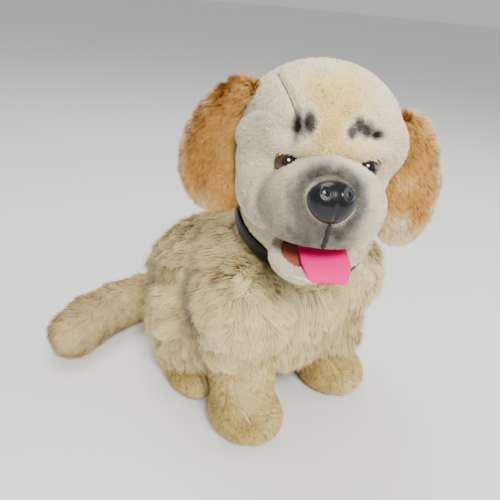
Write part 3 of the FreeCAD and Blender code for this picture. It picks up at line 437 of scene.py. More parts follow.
def pile(name, skin, root, normal, comb, length, mat, tone, lift, sag, width, steps=3, clumps=0,
         pull=0.0, wave=0.0, stray=0.25, speckle=0.05, floor=None, room=None):
    """Strands rooted on a skin.

    comb, length, tone and lift have a value for each strand. lift is how far it stands up, sag how far its tip
    lies down, pull how tightly a clump draws together, and wave how far the clump swings. floor is the height
    that strands stay above, and those that leave the room are dropped.
    """
    n = len(root)
    lean = unit(comb + rng.normal(0, stray, (n, 3)))
    start = unit(normal * lift[:, None] + lean * (1 - lift)[:, None])
    end = unit(normal * (lift * (1 - sag))[:, None] + lean * (1 - lift * (1 - sag))[:, None])
    t = np.linspace(0, 1, steps + 1)
    path = root[:, None] + length[:, None, None] * (
        (t - t * t / 2)[None, :, None] * start[:, None] + (t * t / 2)[None, :, None] * end[:, None])
    if clumps:
        leaders = rng.choice(n, clumps, replace=False)
        tree = KDTree(clumps)
        for k, at in enumerate(root[leaders]):
            tree.insert(at, k)
        tree.balance()
        owner = np.array([tree.find(p)[1] for p in root])
        lead = path[leaders][owner]
        grip = (pull * rng.uniform(0.6, 1.0, clumps)[owner])[:, None, None] * (t**1.3)[None, :, None]
        path = path + grip * (lead - path)
        if wave:
            phase = rng.uniform(0, 6.28, clumps)[owner]
            side = unit(np.cross(end, normal))
            swing = np.sin(phase[:, None] + t[None, :] * 5.5) * t[None, :] * wave
            path = path + side[:, None] * swing[:, :, None]
        tone = tone + rng.normal(0, 1.4 * speckle, clumps)[owner]
    if room is not None:
        keep = np.all([room(path[:, k]) for k in range(steps + 1)], axis=0)
        path, normal, tone = path[keep], normal[keep], tone[keep]
        n = len(path)
    if floor is not None:
        world = skin.place.out(path)
        lift_up = np.maximum(floor + rng.uniform(0, 0.6, (n, 1)) - world[..., 2], 0)
        path = path + lift_up[..., None] * skin.place.into(skin.place.origin + (0, 0, 1))
    along = unit(path[:, 1:] - path[:, :-1])
    along = np.concatenate([along, along[:, -1:]], axis=1)
    side = unit(np.cross(along, normal[:, None]))
    twist = rng.normal(0, 0.45, (n, 1, 1))
    side = unit(side * np.cos(twist) + np.cross(along, side) * np.sin(twist))
    half = 0.5 * width * rng.uniform(0.7, 1.3, (n, 1)) * (1 - 0.75 * t[None, :] ** 2)
    left = path - side * half[..., None]
    right = path + side * half[..., None]
    per = 2 * steps + 1
    points = np.empty((n, per, 3))
    normals = np.empty((n, per, 3))
    uv = np.empty((n, per, 2))
    shade = unit(normal[:, None] + 0.25 * np.cross(side, along) * np.sign(
        np.sum(np.cross(side, along) * normal[:, None], axis=-1, keepdims=True)))
    tone = np.clip(tone + rng.normal(0, speckle, n), 0.01, 0.99)
    for k in range(steps):
        points[:, 2 * k], points[:, 2 * k + 1] = left[:, k], right[:, k]
        normals[:, 2 * k] = unit(shade[:, k] - 0.35 * side[:, k])
        normals[:, 2 * k + 1] = unit(shade[:, k] + 0.35 * side[:, k])
        uv[:, 2 * k] = np.stack([tone - 0.004, np.full(n, t[k])], axis=1)
        uv[:, 2 * k + 1] = np.stack([tone + 0.004, np.full(n, t[k])], axis=1)
    points[:, -1], normals[:, -1] = path[:, -1], shade[:, -1]
    uv[:, -1] = np.stack([tone, np.full(n, 1.0)], axis=1)
    most = FACES_A_PIECE // (2 * steps - 1)
    for i, chunk in enumerate(np.array_split(np.arange(n), max(1, math.ceil(n / most)))):
        first = np.arange(len(chunk))[:, None] * per
        quads = np.concatenate([first + (2 * k, 2 * k + 1, 2 * k + 3, 2 * k + 2) for k in range(steps - 1)])
        tips = first + (2 * steps - 2, 2 * steps - 1, 2 * steps)
        build(f"{name}_{i}", points[chunk].reshape(-1, 3), [quads, tips], mat, skin.place, skin.body,
              normals=normals[chunk].reshape(-1, 3), uv=uv[chunk].reshape(-1, 2))


def soft_noise(p, size, seed):
    """A smooth random value from about -1 to 1 at each point, from a few crossed waves."""
    local = np.random.default_rng(seed)
    out = np.zeros(len(p))
    for _ in range(6):
        way = unit(local.normal(size=3)) * local.uniform(0.6, 1.4) * 6.28 / size
        out += np.sin(p @ way + local.uniform(0, 6.28))
    return out / 3


def drift_noise(p, size, seeds):
    """A smooth random vector at each point."""
    return np.stack([soft_noise(p, size, seed) for seed in seeds], axis=1)


def lengths_along(knots):
    """How far along a line each of its knots lies."""
    return np.concatenate([[0], np.cumsum(np.linalg.norm(np.diff(knots, axis=0), axis=1))])


def points_along(knots, s, at):
    """Points at given distances along a line of knots."""
    return np.stack([np.interp(at, s, column) for column in knots.T], axis=1)


def tube_faces(rows, ring):
    """Numbers of the points in rows of rings, and the four-sided faces between one ring and the next."""
    index = np.arange(rows * ring).reshape(rows, ring)
    beside = np.roll(index, -1, 1)
    return index, np.stack([index[:-1], beside[:-1], beside[1:], index[1:]], axis=-1).reshape(-1, 4)


# -------- torso
STRAP_NORMAL = about_x(24) @ np.array([0.0, 0.0, 1.0])
STRAP_CENTRE = NECK_CENTRE + (0, 0, -6.5)


def over_strap(p):
    """How far a point lies above the middle plane of the collar."""
    return (p - STRAP_CENTRE) @ STRAP_NORMAL


LEAN = about_x(15)


def paw_fields(side, hind):
    """The plain shape of a paw, and of the yellow sock above a front one."""
    def field(p):
        if hind:
            out = oval(p, (side * 52, 49, 12.5), (11.5, 22.5, 12.5))
        else:
            out = oval(p, (side * 43, -8, 14), (21, 25, 14))
            top = 60 if side < 0 else 42
            out = join(out, limb(p, (side * 43, -5, 18), (side * 43.5, -1, top - 11), 17.5, 19.5), 6)
            out = np.maximum(out, p[:, 2] - top)
        return above_floor(out, p, 1.2)
    return field


def fold(p, side):
    """1 along the deep fold between the shoulder and the rump, on one flank, and 0 away from it."""
    line = [(side * 34, 74, 122), (side * 46, 62, 108), (side * 56, 53, 86), (side * 62, 43, 58),
            (side * 64, 36, 34)]
    return np.exp(-((line_gap(p, line) / 8) ** 2))


def torso_field(p):
    """Rump, chest, belly, legs and the ball of the neck, with the battery door's bay cut out below."""
    out = join(oval(p, (0, 76, 48), (54, 46, 54)), oval(p, (0, 60, 78), (50, 40, 50)), 12)
    out = join(out, oval(p, (0, 88, 68), (50, 38, 44)), 8)
    out = join(out, oval(p, (0, 22, 92), (58, 42, 54), LEAN), 6)
    out = join(out, oval(p, (8, 9, 58), (34, 22, 28)), 16)
    # Under the belly the pile backing covers the speaker, and at the rear the tail's gear box.
    out = join(out, oval(p, (0, 34, 37), (28, 17, 20)), 6)
    out = join(out, oval(p, (0, 107, 30), (27, 22, 19)), 8)
    for side in (-1, 1):
        out = join(out, oval(p, (side * 42, -3, 98), (24, 22, 29)), 8)
        out = join(out, limb(p, (side * 44, 8, 98), (side * 43, -1, 44), 20, 18), 8)
        out = join(out, oval(p, (side * 46, 62, 41), (18, 31, 39)), 7)
        out = out + (8 + 4 * np.clip((p[:, 2] - 60) / 30, 0, 1)) * fold(p, side)
    out = join(out, far_from(p, NECK_CENTRE) - NECK_BALL, 3)
    out = carve(out, slab(p, (-33, 49, -9), (33, 125, 19)), 1)
    return above_floor(out, p, 1.6)


def torso_tone(p):
    """Cream, with grey on the flanks, and painted shade on the haunches and in the folds."""
    flank = bump(p, (-55, 31, 96), (18, 14, 32)) + 0.4 * bump(p, (-50, 92, 84), (26, 26, 34))
    # haunch and shade are painted shade: the haunches, and the fur along the deep fold between shoulder and rump,
    # are darkened.
    haunch = bump(p, (-64, 64, 46), (16, 34, 32)) + bump(p, (64, 64, 46), (16, 34, 32))
    shade = np.maximum(fold(p, -1), fold(p, 1)) * np.clip((p[:, 2] - 50) / 30, 0, 1)
    warm = 0.08 * soft_noise(p, 46, 3) + 0.05 * soft_noise(p, 15, 23)
    leg = np.clip((80 - p[:, 2]) / 24, 0, 1) * np.clip((26 - p[:, 1]) / 10, 0, 1)
    grey = np.clip(0.42 * flank + 0.10 * haunch + 0.20 * shade, 0, 0.38)
    return 0.69 + warm - grey - 0.10 * leg


torso = Skin(torso_field, (-76, -44, 0), (76, 134, 192), 1.5, BODY, "torso")
obj = torso.show("torso_skin", LONG_PILE, torso_tone, root_shade=(0.25, 0.5))
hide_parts("torso_plush", "front_leg_right", "front_leg_left", "haunch_right", "haunch_left")


def torso_room(p):
    """False in the collar's band, and in the bay of the battery door and behind it."""
    strap = (np.abs(over_strap(p)) < 6.4) & (far_from(p, NECK_CENTRE) < 47.5)
    door = (np.abs(p[:, 0]) < 34) & (p[:, 1] > 47) & (p[:, 1] < 128) & (p[:, 2] < 12)
    return ~strap & ~door


root, normal = torso.roots(290000)
ball = (far_from(root, NECK_CENTRE) < 43.5) & (over_strap(root) > -6.5)
under = (root[:, 2] < 2.2) | ((np.abs(root[:, 0]) < 33.5) & (root[:, 1] > 48) & (root[:, 2] < 20))
sock = np.min([field(root) for field in (paw_fields(-1, False), paw_fields(1, False))], axis=0) < 2.5
keep = ~ball & ~under & ~sock
above = ball & (over_strap(root) > 6)
neck_root, neck_normal = root[above], normal[above]
root, normal = root[keep], normal[keep]
n = len(root)
length = rng.uniform(13, 20, n)
length *= 1 - 0.4 * np.clip((56 - root[:, 2]) / 26, 0, 1)
length *= 1 - 0.45 * np.clip((74 - root[:, 2]) / 18, 0, 1) * ((root[:, 1] < 20) & (root[:, 0] < -20))
length *= 1 - 0.5 * np.clip((root[:, 2] - 118) / 30, 0, 1)
by_strap = np.clip((over_strap(root) + 24) / 12, 0, 1) * (far_from(root, NECK_CENTRE) < 62)
length *= 1 - 0.45 * by_strap
length *= 1 - 0.6 * np.maximum(fold(root, -1), fold(root, 1))
length *= 1 - 0.35 * np.clip((root[:, 1] - 45) / 20, 0, 1) * np.clip((root[:, 2] - 85) / 25, 0, 1)
drift = drift_noise(root, 34, (11, 12, 13)) * (1, 1, 0.4)
comb = tangent(normal, np.array([0.0, 0.15, -1.0]) + 0.55 * drift)
pile("torso_pile", torso, root, normal, comb, length, LONG_PILE, torso_tone(root),
     lift=rng.uniform(0.42, 0.7, n), sag=0.75, width=0.46, clumps=2200, pull=0.62, wave=1.5, stray=0.32,
     speckle=0.035, floor=0.6, room=torso_room)

n = len(neck_root)
extra = rng.choice(n, n * 3)
neck_root, neck_normal = neck_root[extra] + rng.normal(0, 0.5, (3 * n, 3)), neck_normal[extra]
n = len(neck_root)
length = np.where(neck_root[:, 2] < 166, rng.uniform(4.0, 7.0, n), rng.uniform(0.5, 0.8, n))
length *= np.clip((over_strap(neck_root) - 2) / 10, 0.35, 1)
comb = tangent(neck_normal, (0, 0, -1))
pile("neck_nap", torso, neck_root, neck_normal, comb, length, VELOUR, np.full(n, 0.62),
     lift=rng.uniform(0.4, 0.7, n), sag=0.5, width=0.45, clumps=1400, pull=0.3, speckle=0.02)


# -------- paws
def toe_dents(side, hind):
    """Where the toe stitch pulls the paw in: a line down the middle of its front."""
    return [(side * 52, 27.0)] if hind else [(side * 43 - 11, -31.0)]


def paw_tone(p):
    pale_top = 0.25 * np.clip((p[:, 2] - 40) / 16, 0, 1) + 0.10 * np.clip((14 - p[:, 2]) / 12, 0, 1)
    return 0.54 + 0.12 * soft_noise(p, 24, 5) + pale_top


PAWS = [(-1, False, "front_paw_right"), (1, False, "front_paw_left"),
        (-1, True, "hind_paw_right"), (1, True, "hind_paw_left")]
for side, hind, node in PAWS:
    base = paw_fields(side, hind)
    lines = toe_dents(side, hind)

    def field(p, base=base, lines=lines):
        out = base(p)
        for x, y in lines:
            near = np.exp(-((p[:, 0] - x) / 1.5) ** 2) * np.clip((y + 16 - p[:, 1]) / 8, 0, 1)
            out = out + 1.6 * near * np.clip((p[:, 2] - 1.2) / 3, 0, 1)
        return out

    x, y = (side * 52, 49) if hind else (side * 43, -7)
    skin = Skin(field, (x - 25, y - 29, 0), (x + 25, y + 33, 70), 1.0, BODY, "torso")
    obj = skin.show(node + "_skin", PAW_PILE, paw_tone, root_shade=(0.2, 0.45))
    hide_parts(node)
    root, normal = skin.roots(20000 if hind else 56000)
    keep = (root[:, 2] > 1.9) & (torso_field(root) > -2)
    root, normal = root[keep], normal[keep]
    n = len(root)
    comb = tangent(normal, (0, -0.5, -0.8))
    length = rng.uniform(3.4, 5.4, n)
    pile(node + "_pile", skin, root, normal, comb, length, PAW_PILE, paw_tone(root),
         lift=rng.uniform(0.7, 1.0, n), sag=0.3, width=0.32, clumps=900, pull=0.3, speckle=0.035, floor=0.4)


# -------- tail
TAIL_PIVOT = np.array([0.0, 110.0, 22.0])
# The far end of tail_wag, in degrees as the tail turns about z.
TAIL_SWING = -54
TAIL_LINE = [((-2, 123, 22), 8), ((-14, 144, 23), 12.5), ((-32, 150, 22), 13.5), ((-58, 150, 21), 14),
             ((-86, 143, 20.5), 14.2), ((-104, 134, 20), 13)]


def tail_field(p):
    first, *others = [limb(p, a, b, ra, rb) for (a, ra), (b, rb) in zip(TAIL_LINE, TAIL_LINE[1:])]
    out = first
    for run in others:
        out = join(out, run, 2)
    return above_floor(out, p, 2.6)


def tail_way(p):
    """The direction of the tail's nearest run, towards its tip."""
    best, way = np.full(len(p), 1e9), np.zeros((len(p), 3))
    for (a, _), (b, _) in zip(TAIL_LINE, TAIL_LINE[1:]):
        gap = limb(p, a, b, 0, 0)
        near = gap < best
        best[near] = gap[near]
        way[near] = unit(np.array(b, float) - np.array(a, float))
    return way


def tail_tone(p):
    return 0.60 + 0.06 * soft_noise(p, 26, 8)


tail = Skin(tail_field, (-124, 100, 0), (16, 170, 42), 1.2, BODY, "tail")
obj = tail.show("tail_skin", LONG_PILE, tail_tone, root_shade=(0.25, 0.5))
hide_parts("tail_plush")
root, normal = tail.roots(70000)
# Where the swing brings the root of the tail to the rump, the pile is sparse and short.
swung = torso_field(TAIL_PIVOT + (root - TAIL_PIVOT) @ about_z(TAIL_SWING).T)
keep = (root[:, 2] > 2.7) & (torso_field(root) > 1) & (swung > -3)
root, normal, swung = root[keep], normal[keep], swung[keep]
n = len(root)
length = rng.uniform(9, 14, n) * np.clip(0.4 + swung / 14, 0.3, 1)
comb = tangent(normal, tail_way(root) + (0, 0, -0.35))
pile("tail_pile", tail, root, normal, comb, length, LONG_PILE, tail_tone(root),
     lift=rng.uniform(0.35, 0.6, n), sag=0.6, width=0.42, clumps=700, pull=0.34, wave=0.8,
     speckle=0.025, floor=0.6)


# -------- head
MUZZLE = (0, -56, 13.5)
MUZZLE_SIZE = (32.5, 32, 26)


def head_solid(p):
    """Skull, cheeks and brows. The head is turned and pressed, so its two cheeks differ."""
    out = oval(p, (0, -18, 46), (46, 42, 39))
    # The back of the skull is fuller, to cover the ring of the head frame.
    out = join(out, oval(p, (0, -16, 40), (42, 44, 39)), 6)
    out = join(out, oval(p, (-24, -30, 18), (21, 25, 24)), 8)
    out = join(out, oval(p, (20, -28, 22), (17, 24, 22)), 8)
    # The brows: a crease shows above the right one only, and both run smoothly into the cheek below.
    out = join(out, oval(p, (-31, -40, 34), (14, 14, 16)), 7)
    out = join(out, oval(p, (-31, -43, 45), (15.5, 12.4, 12)), 1.2)
    return join(out, oval(p, (29, -40, 44), (15, 14.5, 16)), 6)


TEMPLE_SEAM = onto(head_solid, np.array([(-29, -29, 79), (-27, -37, 75), (-24, -45, 70), (-21, -52, 64),
                                         (-18.5, -57, 58)], float), 0.0)


def head_field(p):
    """The whole head, hollowed for the jaw and the neck."""
    out = head_solid(p)
    out = out + 2.0 * np.exp(-((line_gap(p, TEMPLE_SEAM) / 1.6) ** 2))
    for side in (-1, 1):
        out = carve(out, far_from(p, (side * 20.5, -56.5, 33)) - 6.8, 1.5)
        lid = limb(p, (side * 27, -53.5, 41.5), (side * 12, -58.5, 41.5 - 0.5 * side), 4.6, 4.0)
        out = join(out, lid, 4)
    out = join(out, oval(p, MUZZLE, MUZZLE_SIZE), 0.8)
    for x, deep in ((-39.5, 1.5), (-35.5, 1.0)):
        out = out + deep * np.exp(-(((p[:, 0] - x - 0.12 * (p[:, 2] - 8)) / 1.4) ** 2)) * bump(
            p, (x, -44, 8), (9, 16, 13))
    # The mouth: flat under the muzzle, and open behind it for the jaw.
    out = carve(out, slab(p, (-60, -100, -60), (60, -38, -3.2)), 1.5)
    far = far_from(p, NECK_IN_HEAD)
    up = BODY.into(HEAD.out(p))[:, 2]
    # Above the collar the socket closes in on the neck.
    socket = SOCKET - 3.6 * np.clip((up - 170) / 6, 0, 1)
    return carve(out, far - socket, 0.8)


# Centre, radii and strength of each painted spot.
BROW_SPOTS = [((-16.0, -58, 52.2), (2.9, 9, 6.6), 0.9), ((-10.6, -60, 54.0), (3.3, 9, 6.2), 1.1),
              ((-13.5, -59, 49.0), (3.8, 9, 4.4), 0.5), ((-17.2, -58, 46.0), (3.2, 9, 4.0), 0.45),
              ((9.0, -61, 51.0), (3.0, 9, 4.8), 1.0), ((12.4, -61, 55.2), (3.8, 9, 4.8), 1.15),
              ((16.6, -59, 53.0), (4.6, 9, 4.4), 1.0), ((22.0, -57, 50.8), (4.2, 9, 3.2), 0.9)]


def muzzle_shade(p):
    """The airbrushed grey of the muzzle: dark round the nose, darkest above it and down to the mouth, with painted
    shade on the muzzle's right side.
    """
    x, z = p[:, 0] + 1.6, p[:, 2] - 21
    rim = np.hypot(x / 1.12, z)
    turn = np.arctan2(z, x)
    strength = 0.76 + 0.32 * np.cos(turn - 1.2)
    ring = strength * np.exp(-((np.clip(rim - 12.4, 0, 99) / 4.6) ** 2))
    low = 0.72 * bump(p, (-10, -80, 2), (14, 25, 10)) + 0.45 * bump(p, (8, -80, 4), (8, 25, 10))
    # Painted shade: cheek darkens the right side of the muzzle.
    cheek = bump(p, (-30, -60, 12), (17, 26, 18))
    halo = np.clip(np.maximum((rim - 9.8) / 1.4, z / 13), 0.35, 1)
    uneven = 1 + 0.14 * soft_noise(p, 9, 15) + 0.06 * soft_noise(p, 4, 16)
    dark = np.clip(ring + low, 0, 1.05) * halo * uneven
    return np.clip(0.39 * dark + 0.16 * cheek, 0, 0.45)


def head_tone(p):
    """Cream, warm on the brow, with the muzzle's grey, the brow spots, painted shade on the right brow, and
    painted shadow along the temple seam.
    """
    tone = 0.585 + 0.02 * soft_noise(p, 17, 4) + 0.01 * soft_noise(p, 7, 14)
    on_muzzle = np.clip((2.4 - oval(p, MUZZLE, MUZZLE_SIZE)) / 1.5, 0, 1)
    tone = tone + 0.29 * bump(p, (2, -58, 60), (18, 40, 19)) + 0.06 * bump(p, (8, -56, 80), (28, 40, 18))
    tone = tone + 0.11 * bump(p, (2, -60, 44), (22, 40, 10)) * (1 - on_muzzle)
    # Painted shade on the right brow pad, below its crease.
    tone = tone - 0.11 * bump(p, (-34, -46, 50), (15, 20, 11))
    tone = tone - on_muzzle * muzzle_shade(p)
    dark = np.clip(np.max([amount * bump(p, at, size) for at, size, amount in BROW_SPOTS], axis=0), 0, 1)
    tone = tone - 0.58 * np.clip(1.25 * dark + 0.1 * soft_noise(p, 5, 17) * dark, 0, 1)
    # Painted shadow: the nap is darkened along the gap of the temple seam.
    seam_shadow = np.exp(-((line_gap(p, TEMPLE_SEAM) / 0.9) ** 2))
    return np.clip(tone, 0, 0.93) - 0.5 * seam_shadow


head = Skin(head_field, (-56, -94, -18), (56, 30, 92), 1.15, HEAD, "head")
obj = head.show("head_skin", VELOUR, head_tone, root_shade=(0.6, 0.9))
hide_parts("head_plush", "muzzle_plush")
EYES = [(-20.5, -55.0, 33.5), (20.5, -55.0, 33.5)]
EYE_RADIUS = 6.5
NOSE = (-1.6, -88.0, 22.0)


def face_room(p):
    eye = np.min([far_from(p, e) for e in EYES], axis=0) < 6.9
    nose = oval(p, NOSE, (12.9, 9, 11)) < 0
    return ~eye & ~nose


root, normal = head.roots(190000)
keep = (far_from(root, NECK_IN_HEAD) > 47.3) & (line_gap(root, TEMPLE_SEAM) > 0.8)
root, normal = root[keep], normal[keep]
n = len(root)
on_muzzle = oval(root, MUZZLE, MUZZLE_SIZE) < 1.5
crown = np.clip((root[:, 2] - 50) / 30, 0, 1)
length = rng.uniform(1.8, 2.8, n) * np.where(on_muzzle, 0.55, 1.0) * (1 + 0.35 * crown)
rim_low = np.clip((6 - root[:, 2]) / 10, 0, 1) * (root[:, 1] > -46)
length = length * (1 + 0.9 * rim_low)
back = np.clip((root[:, 1] + 25) / 25, 0, 1)[:, None]
away = unit(root - NOSE) - (0, 0, 1) * back
drift = (0.5 - 0.35 * back) * drift_noise(root, 15, (31, 32, 33))
comb = tangent(normal, away + (0, 0, -0.35) + drift)
pile("head_nap", head, root, normal, comb, length, VELOUR, head_tone(root),
     lift=rng.uniform(0.4, 0.7, n), sag=0.5, width=0.36, steps=2, clumps=int(9000 * SHARE), pull=0.24,
     speckle=0.009, room=face_room)


# -------- ears
def ear_frame(side):
    """The centre and turn of an ear. The right one is swung forward and higher than the left."""
    if side < 0:
        return np.array([-53.0, -15.0, 36.0]), about_z(-42) @ about_y(30)
    return np.array([59.0, -6.0, 22.0]), about_z(42) @ about_y(-16)


def ear_field(side):
    """A stuffed flap, thickest and widest low down, sewn to the side of the skull."""
    centre, turn = ear_frame(side)

    def field(p):
        q = (p - centre) @ turn
        wide = (24.0 if side < 0 else 27.0) - 0.12 * q[:, 2]
        thin = 8.0 - 0.06 * q[:, 2]
        even = np.stack([q[:, 0] / wide * 20, q[:, 1] / thin * 8, q[:, 2]], axis=1)
        flap = oval(even, (0, 0, 0), (20, 8, 38))
        flap = carve(flap, head_solid(p) - 0.5, 1)
        return np.maximum(flap, 139 - BODY.into(HEAD.out(p))[:, 2])
    return field


def clear_of_collar(p):
    """False where an ear's pile would brush the collar as the head turns."""
    at = BODY.into(HEAD.out(p))
    return (far_from(at, NECK_CENTRE) > 46.5) | (at[:, 2] > 163)


def ear_tone(p):
    # Painted light: the term in x lightens the left ear only, as the lit one of the pair.
    return 0.52 + 0.09 * soft_noise(p, 22, 9) + 0.07 * np.clip(p[:, 0] / 20, 0, 1)


for side, word in ((-1, "right"), (1, "left")):
    centre, turn = ear_frame(side)
    ear = Skin(ear_field(side), centre - (38, 38, 46), centre + (38, 38, 46), 1.2, HEAD, "head")
    obj = ear.show(f"ear_{word}_skin", TAN_PILE, ear_tone, root_shade=(0.1, 0.3))
    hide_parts(f"ear_{word}")
    root, normal = ear.roots(80000)
    keep = head_solid(root) > 1.2
    root, normal = root[keep], normal[keep]
    n = len(root)
    comb = tangent(normal, np.array((side * 0.1, -0.1, -1.0)) + 0.45 * drift_noise(root, 16, (41, 42, 43)))
    q = (root - centre) @ turn
    rim = np.clip((np.hypot(q[:, 0] / 24, q[:, 2] / 38) - 0.55) / 0.4, 0, 1)
    outward = 0.5 * rim * np.clip((head_solid(root) - 6) / 20, 0, 1) * (1 + 0.25 * soft_noise(root, 10, 44))
    length = rng.uniform(6.0, 9.5, n)
    lift = rng.uniform(0.5, 0.85, n) + 0.35 * rim * rng.uniform(0, 1, n)
    pile(f"ear_{word}_pile", ear, root, normal, comb, length, TAN_PILE, ear_tone(root) + outward,
         lift=lift, sag=0.5, width=0.32, clumps=int(2200 * SHARE), pull=0.45, wave=0.5, speckle=0.04,
         room=clear_of_collar)


# -------- jaw, mouth and tongue
# Height of the lower lip, and the middle of the tongue, in the jaw's frame.
LIP = -15.5
TONGUE_MIDDLE = 2.4


def neck_in_jaw(p):
    return far_from(p, JAW.into(BODY.out(NECK_CENTRE)))


def straightened(p):
    """Undoes the jaw's lean: ahead of its hinge it swings to the right and is narrower on its left."""
    ahead = np.clip(-8 - p[:, 1], 0, 40)
    x = p[:, 0] + 0.15 * ahead
    x = np.where(x > -2.5, -2.5 + (x + 2.5) * (1 + 0.3 * np.clip(ahead / 8, 0, 1)), x)
    return np.stack([x, p[:, 1], p[:, 2]], axis=1)


def jaw_field(p):
    """Half an oval dish, open at the top and cut away round the neck."""
    p = straightened(p)
    out = oval(p, (-2.5, -14, LIP), (22, 26.5, 10.5))
    out = carve(out, slab(p, (-60, -60, LIP), (60, 60, 60)), 1.6)
    out = carve(out, oval(p, (-2.5, -13, LIP + 3), (17, 20.5, 6)), 1)
    out = carve(out, neck_in_jaw(p) - 49.5, 1)
    return np.maximum(out, p[:, 1] + 1)


def jaw_tone(p):
    return 0.58 + 0.03 * soft_noise(p, 18, 6)


jaw = Skin(jaw_field, (-28, -44, -29), (28, 4, -12), 0.8, JAW, "jaw")
obj = jaw.show("jaw_skin", VELOUR, jaw_tone, root_shade=(0.6, 0.9))
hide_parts("jaw_plush")
root, normal = jaw.roots(18000)
near_lip = root[:, 2] > LIP - 6
inside = (oval(straightened(root), (-2.5, -13, LIP + 3), (17, 20.5, 6)) < 0.9) & near_lip
under_tongue = (np.abs(root[:, 0] - TONGUE_MIDDLE) < 11) & (root[:, 1] < -30) & near_lip
keep = ~inside & ~under_tongue
root, normal = root[keep], normal[keep]
n = len(root)
comb = tangent(normal, (0, 0.3, -1))
length = rng.uniform(1.2, 1.8, n)
pile("jaw_nap", jaw, root, normal, comb, length, VELOUR, jaw_tone(root),
     lift=rng.uniform(0.5, 0.75, n), sag=0.4, width=0.42, steps=2)


def plain(name, field, low, high, step, place, body, mat):
    """A hard or felted piece: the bare surface of a field."""
    points, faces = surface(field, low, high, step)
    normals = unit(slope_of(field, points, 0.15))
    return build(name, points, [faces], mat, place, body, normals=normals)


def palate_field(p):
    """The felt roof of the mouth: a thin layer on the flat underside of the muzzle."""
    out = oval(p, (0, -56, 14), (28, 28, 24.5))
    out = carve(out, -slab(p, (-60, -120, -5.0), (60, -36, -3.0)), 0.6)
    return carve(out, far_from(p, NECK_IN_HEAD) - 48, 0.6)


obj = plain("palate_felt", palate_field, (-30, -86, -6), (30, -30, -2), 0.7,
            HEAD, "head", FELT)
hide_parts("mouth_lining")


def bed_field(p):
    """The felt that lines the jaw, in a thin layer just below the lip."""
    p = straightened(p)
    out = oval(p, (-2.5, -13.5, LIP), (19, 22.5, 10.5))
    out = carve(out, -slab(p, (-60, -60, LIP - 2.6), (60, -4, LIP + 0.2)), 0.5)
    return carve(out, neck_in_jaw(p) - 49.7, 0.5)


obj = plain("jaw_felt", bed_field, (-24, -40, LIP - 4), (24, -2, LIP + 1), 0.7,
            JAW, "jaw", FELT)
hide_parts("jaw_lining")


def tongue_mesh():
    """The tongue: a flat felt strap that lies on the jaw, rolls over the lip and hangs down the chin."""
    knots = np.array([(-8, LIP + 2.2), (-20, LIP + 2.6), (-30, LIP + 2.6), (-35, LIP + 2.1),
                      (-38.6, LIP + 0.8), (-40.2, LIP - 1.2), (-40.4, LIP - 1.8)])
    s = lengths_along(knots)
    at = np.linspace(0, s[-1], 60)
    mid = points_along(knots, s, at)
    for _ in range(4):
        mid[1:-1] = (mid[:-2] + 2 * mid[1:-1] + mid[2:]) / 4
    way = unit(np.gradient(mid, axis=0))
    up = np.stack([way[:, 1], -way[:, 0]], axis=1)
    up *= np.sign(up[0, 1])
    tip = np.clip((s[-1] - at) / 3.5, 0, 1)
    taper = 12.9 - 2.6 * np.clip((at - 22) / (s[-1] - 22), 0, 1)
    half_wide = taper * (1 - 0.28 * (1 - tip) ** 3.5)
    half_thick = 1.45 * np.sqrt(np.clip((s[-1] - at) / 1.5, 0.02, 1))
    ring = 40
    a = np.arange(ring) / ring * 2 * math.pi
    across_ring = np.sign(np.cos(a)) * np.abs(np.cos(a)) ** 0.35
    thick_ring = np.sign(np.sin(a)) * np.abs(np.sin(a)) ** 0.6
    crease = -0.5 * np.exp(-((across_ring * 12.6) / 1.3) ** 2) * (thick_ring > 0)
    points = np.empty((len(at), ring, 3))
    points[..., 0] = TONGUE_MIDDLE + half_wide[:, None] * across_ring
    for k in (0, 1):
        points[..., k + 1] = mid[:, None, k] + up[:, None, k] * (half_thick[:, None] * thick_ring + crease)
    index, quads = tube_faces(len(at), ring)
    return points.reshape(-1, 3), [quads, index[:1][:, ::-1], index[-1:]]


points, groups = tongue_mesh()
obj = build("tongue_felt", points, groups, TONGUE, JAW, "jaw")
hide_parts("tongue")


# -------- eyes and nose
def eye(name, centre, side, node):
    """A moulded eye: a ball turned to its gaze, with pupil, iris and rim painted in rings."""
    rings, around = 48, 72
    middle = np.array(centre)
    gaze = unit(np.array([0.12 - 0.04 * side, -1.0, 0.10]))
    right = unit(np.cross(gaze, (0, 0, 1)))
    top = np.cross(right, gaze)
    polar = np.linspace(0, math.pi, rings + 1)[1:-1]
    turn = np.arange(around) / around * 2 * math.pi
    ring = np.cos(turn)[:, None] * right + np.sin(turn)[:, None] * top
    away = np.cos(polar)[:, None, None] * gaze + np.sin(polar)[:, None, None] * ring
    points = middle + EYE_RADIUS * away
    poles = [middle + EYE_RADIUS * gaze, middle - EYE_RADIUS * gaze]
    points = np.concatenate([points.reshape(-1, 3), poles])
    index = np.arange((rings - 1) * around).reshape(rings - 1, around)
    after = np.roll(index, -1, 1)
    quads = np.stack([index[:-1], after[:-1], after[1:], index[1:]], axis=-1).reshape(-1, 4)
    front = np.stack([np.full(around, len(points) - 2), after[0], index[0]], axis=-1)
    rear = np.stack([np.full(around, len(points) - 1), index[-1], after[-1]], axis=-1)
    angle = np.concatenate([np.repeat(polar, around), [0, math.pi]]) / (math.pi / 2)
    v = np.concatenate([np.tile(turn / 6.3, rings - 1), [0.5, 0.5]])
    uv = np.stack([np.clip(angle, 0, 1), v], axis=1)
    obj = build(name, points, [quads, np.concatenate([front, rear])], EYE, HEAD, "head",
                normals=unit(points - middle), uv=uv)
    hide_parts(node)


eye("eye_right_ball", EYES[0], -1, "eye_right")
eye("eye_left_ball", EYES[1], 1, "eye_left")


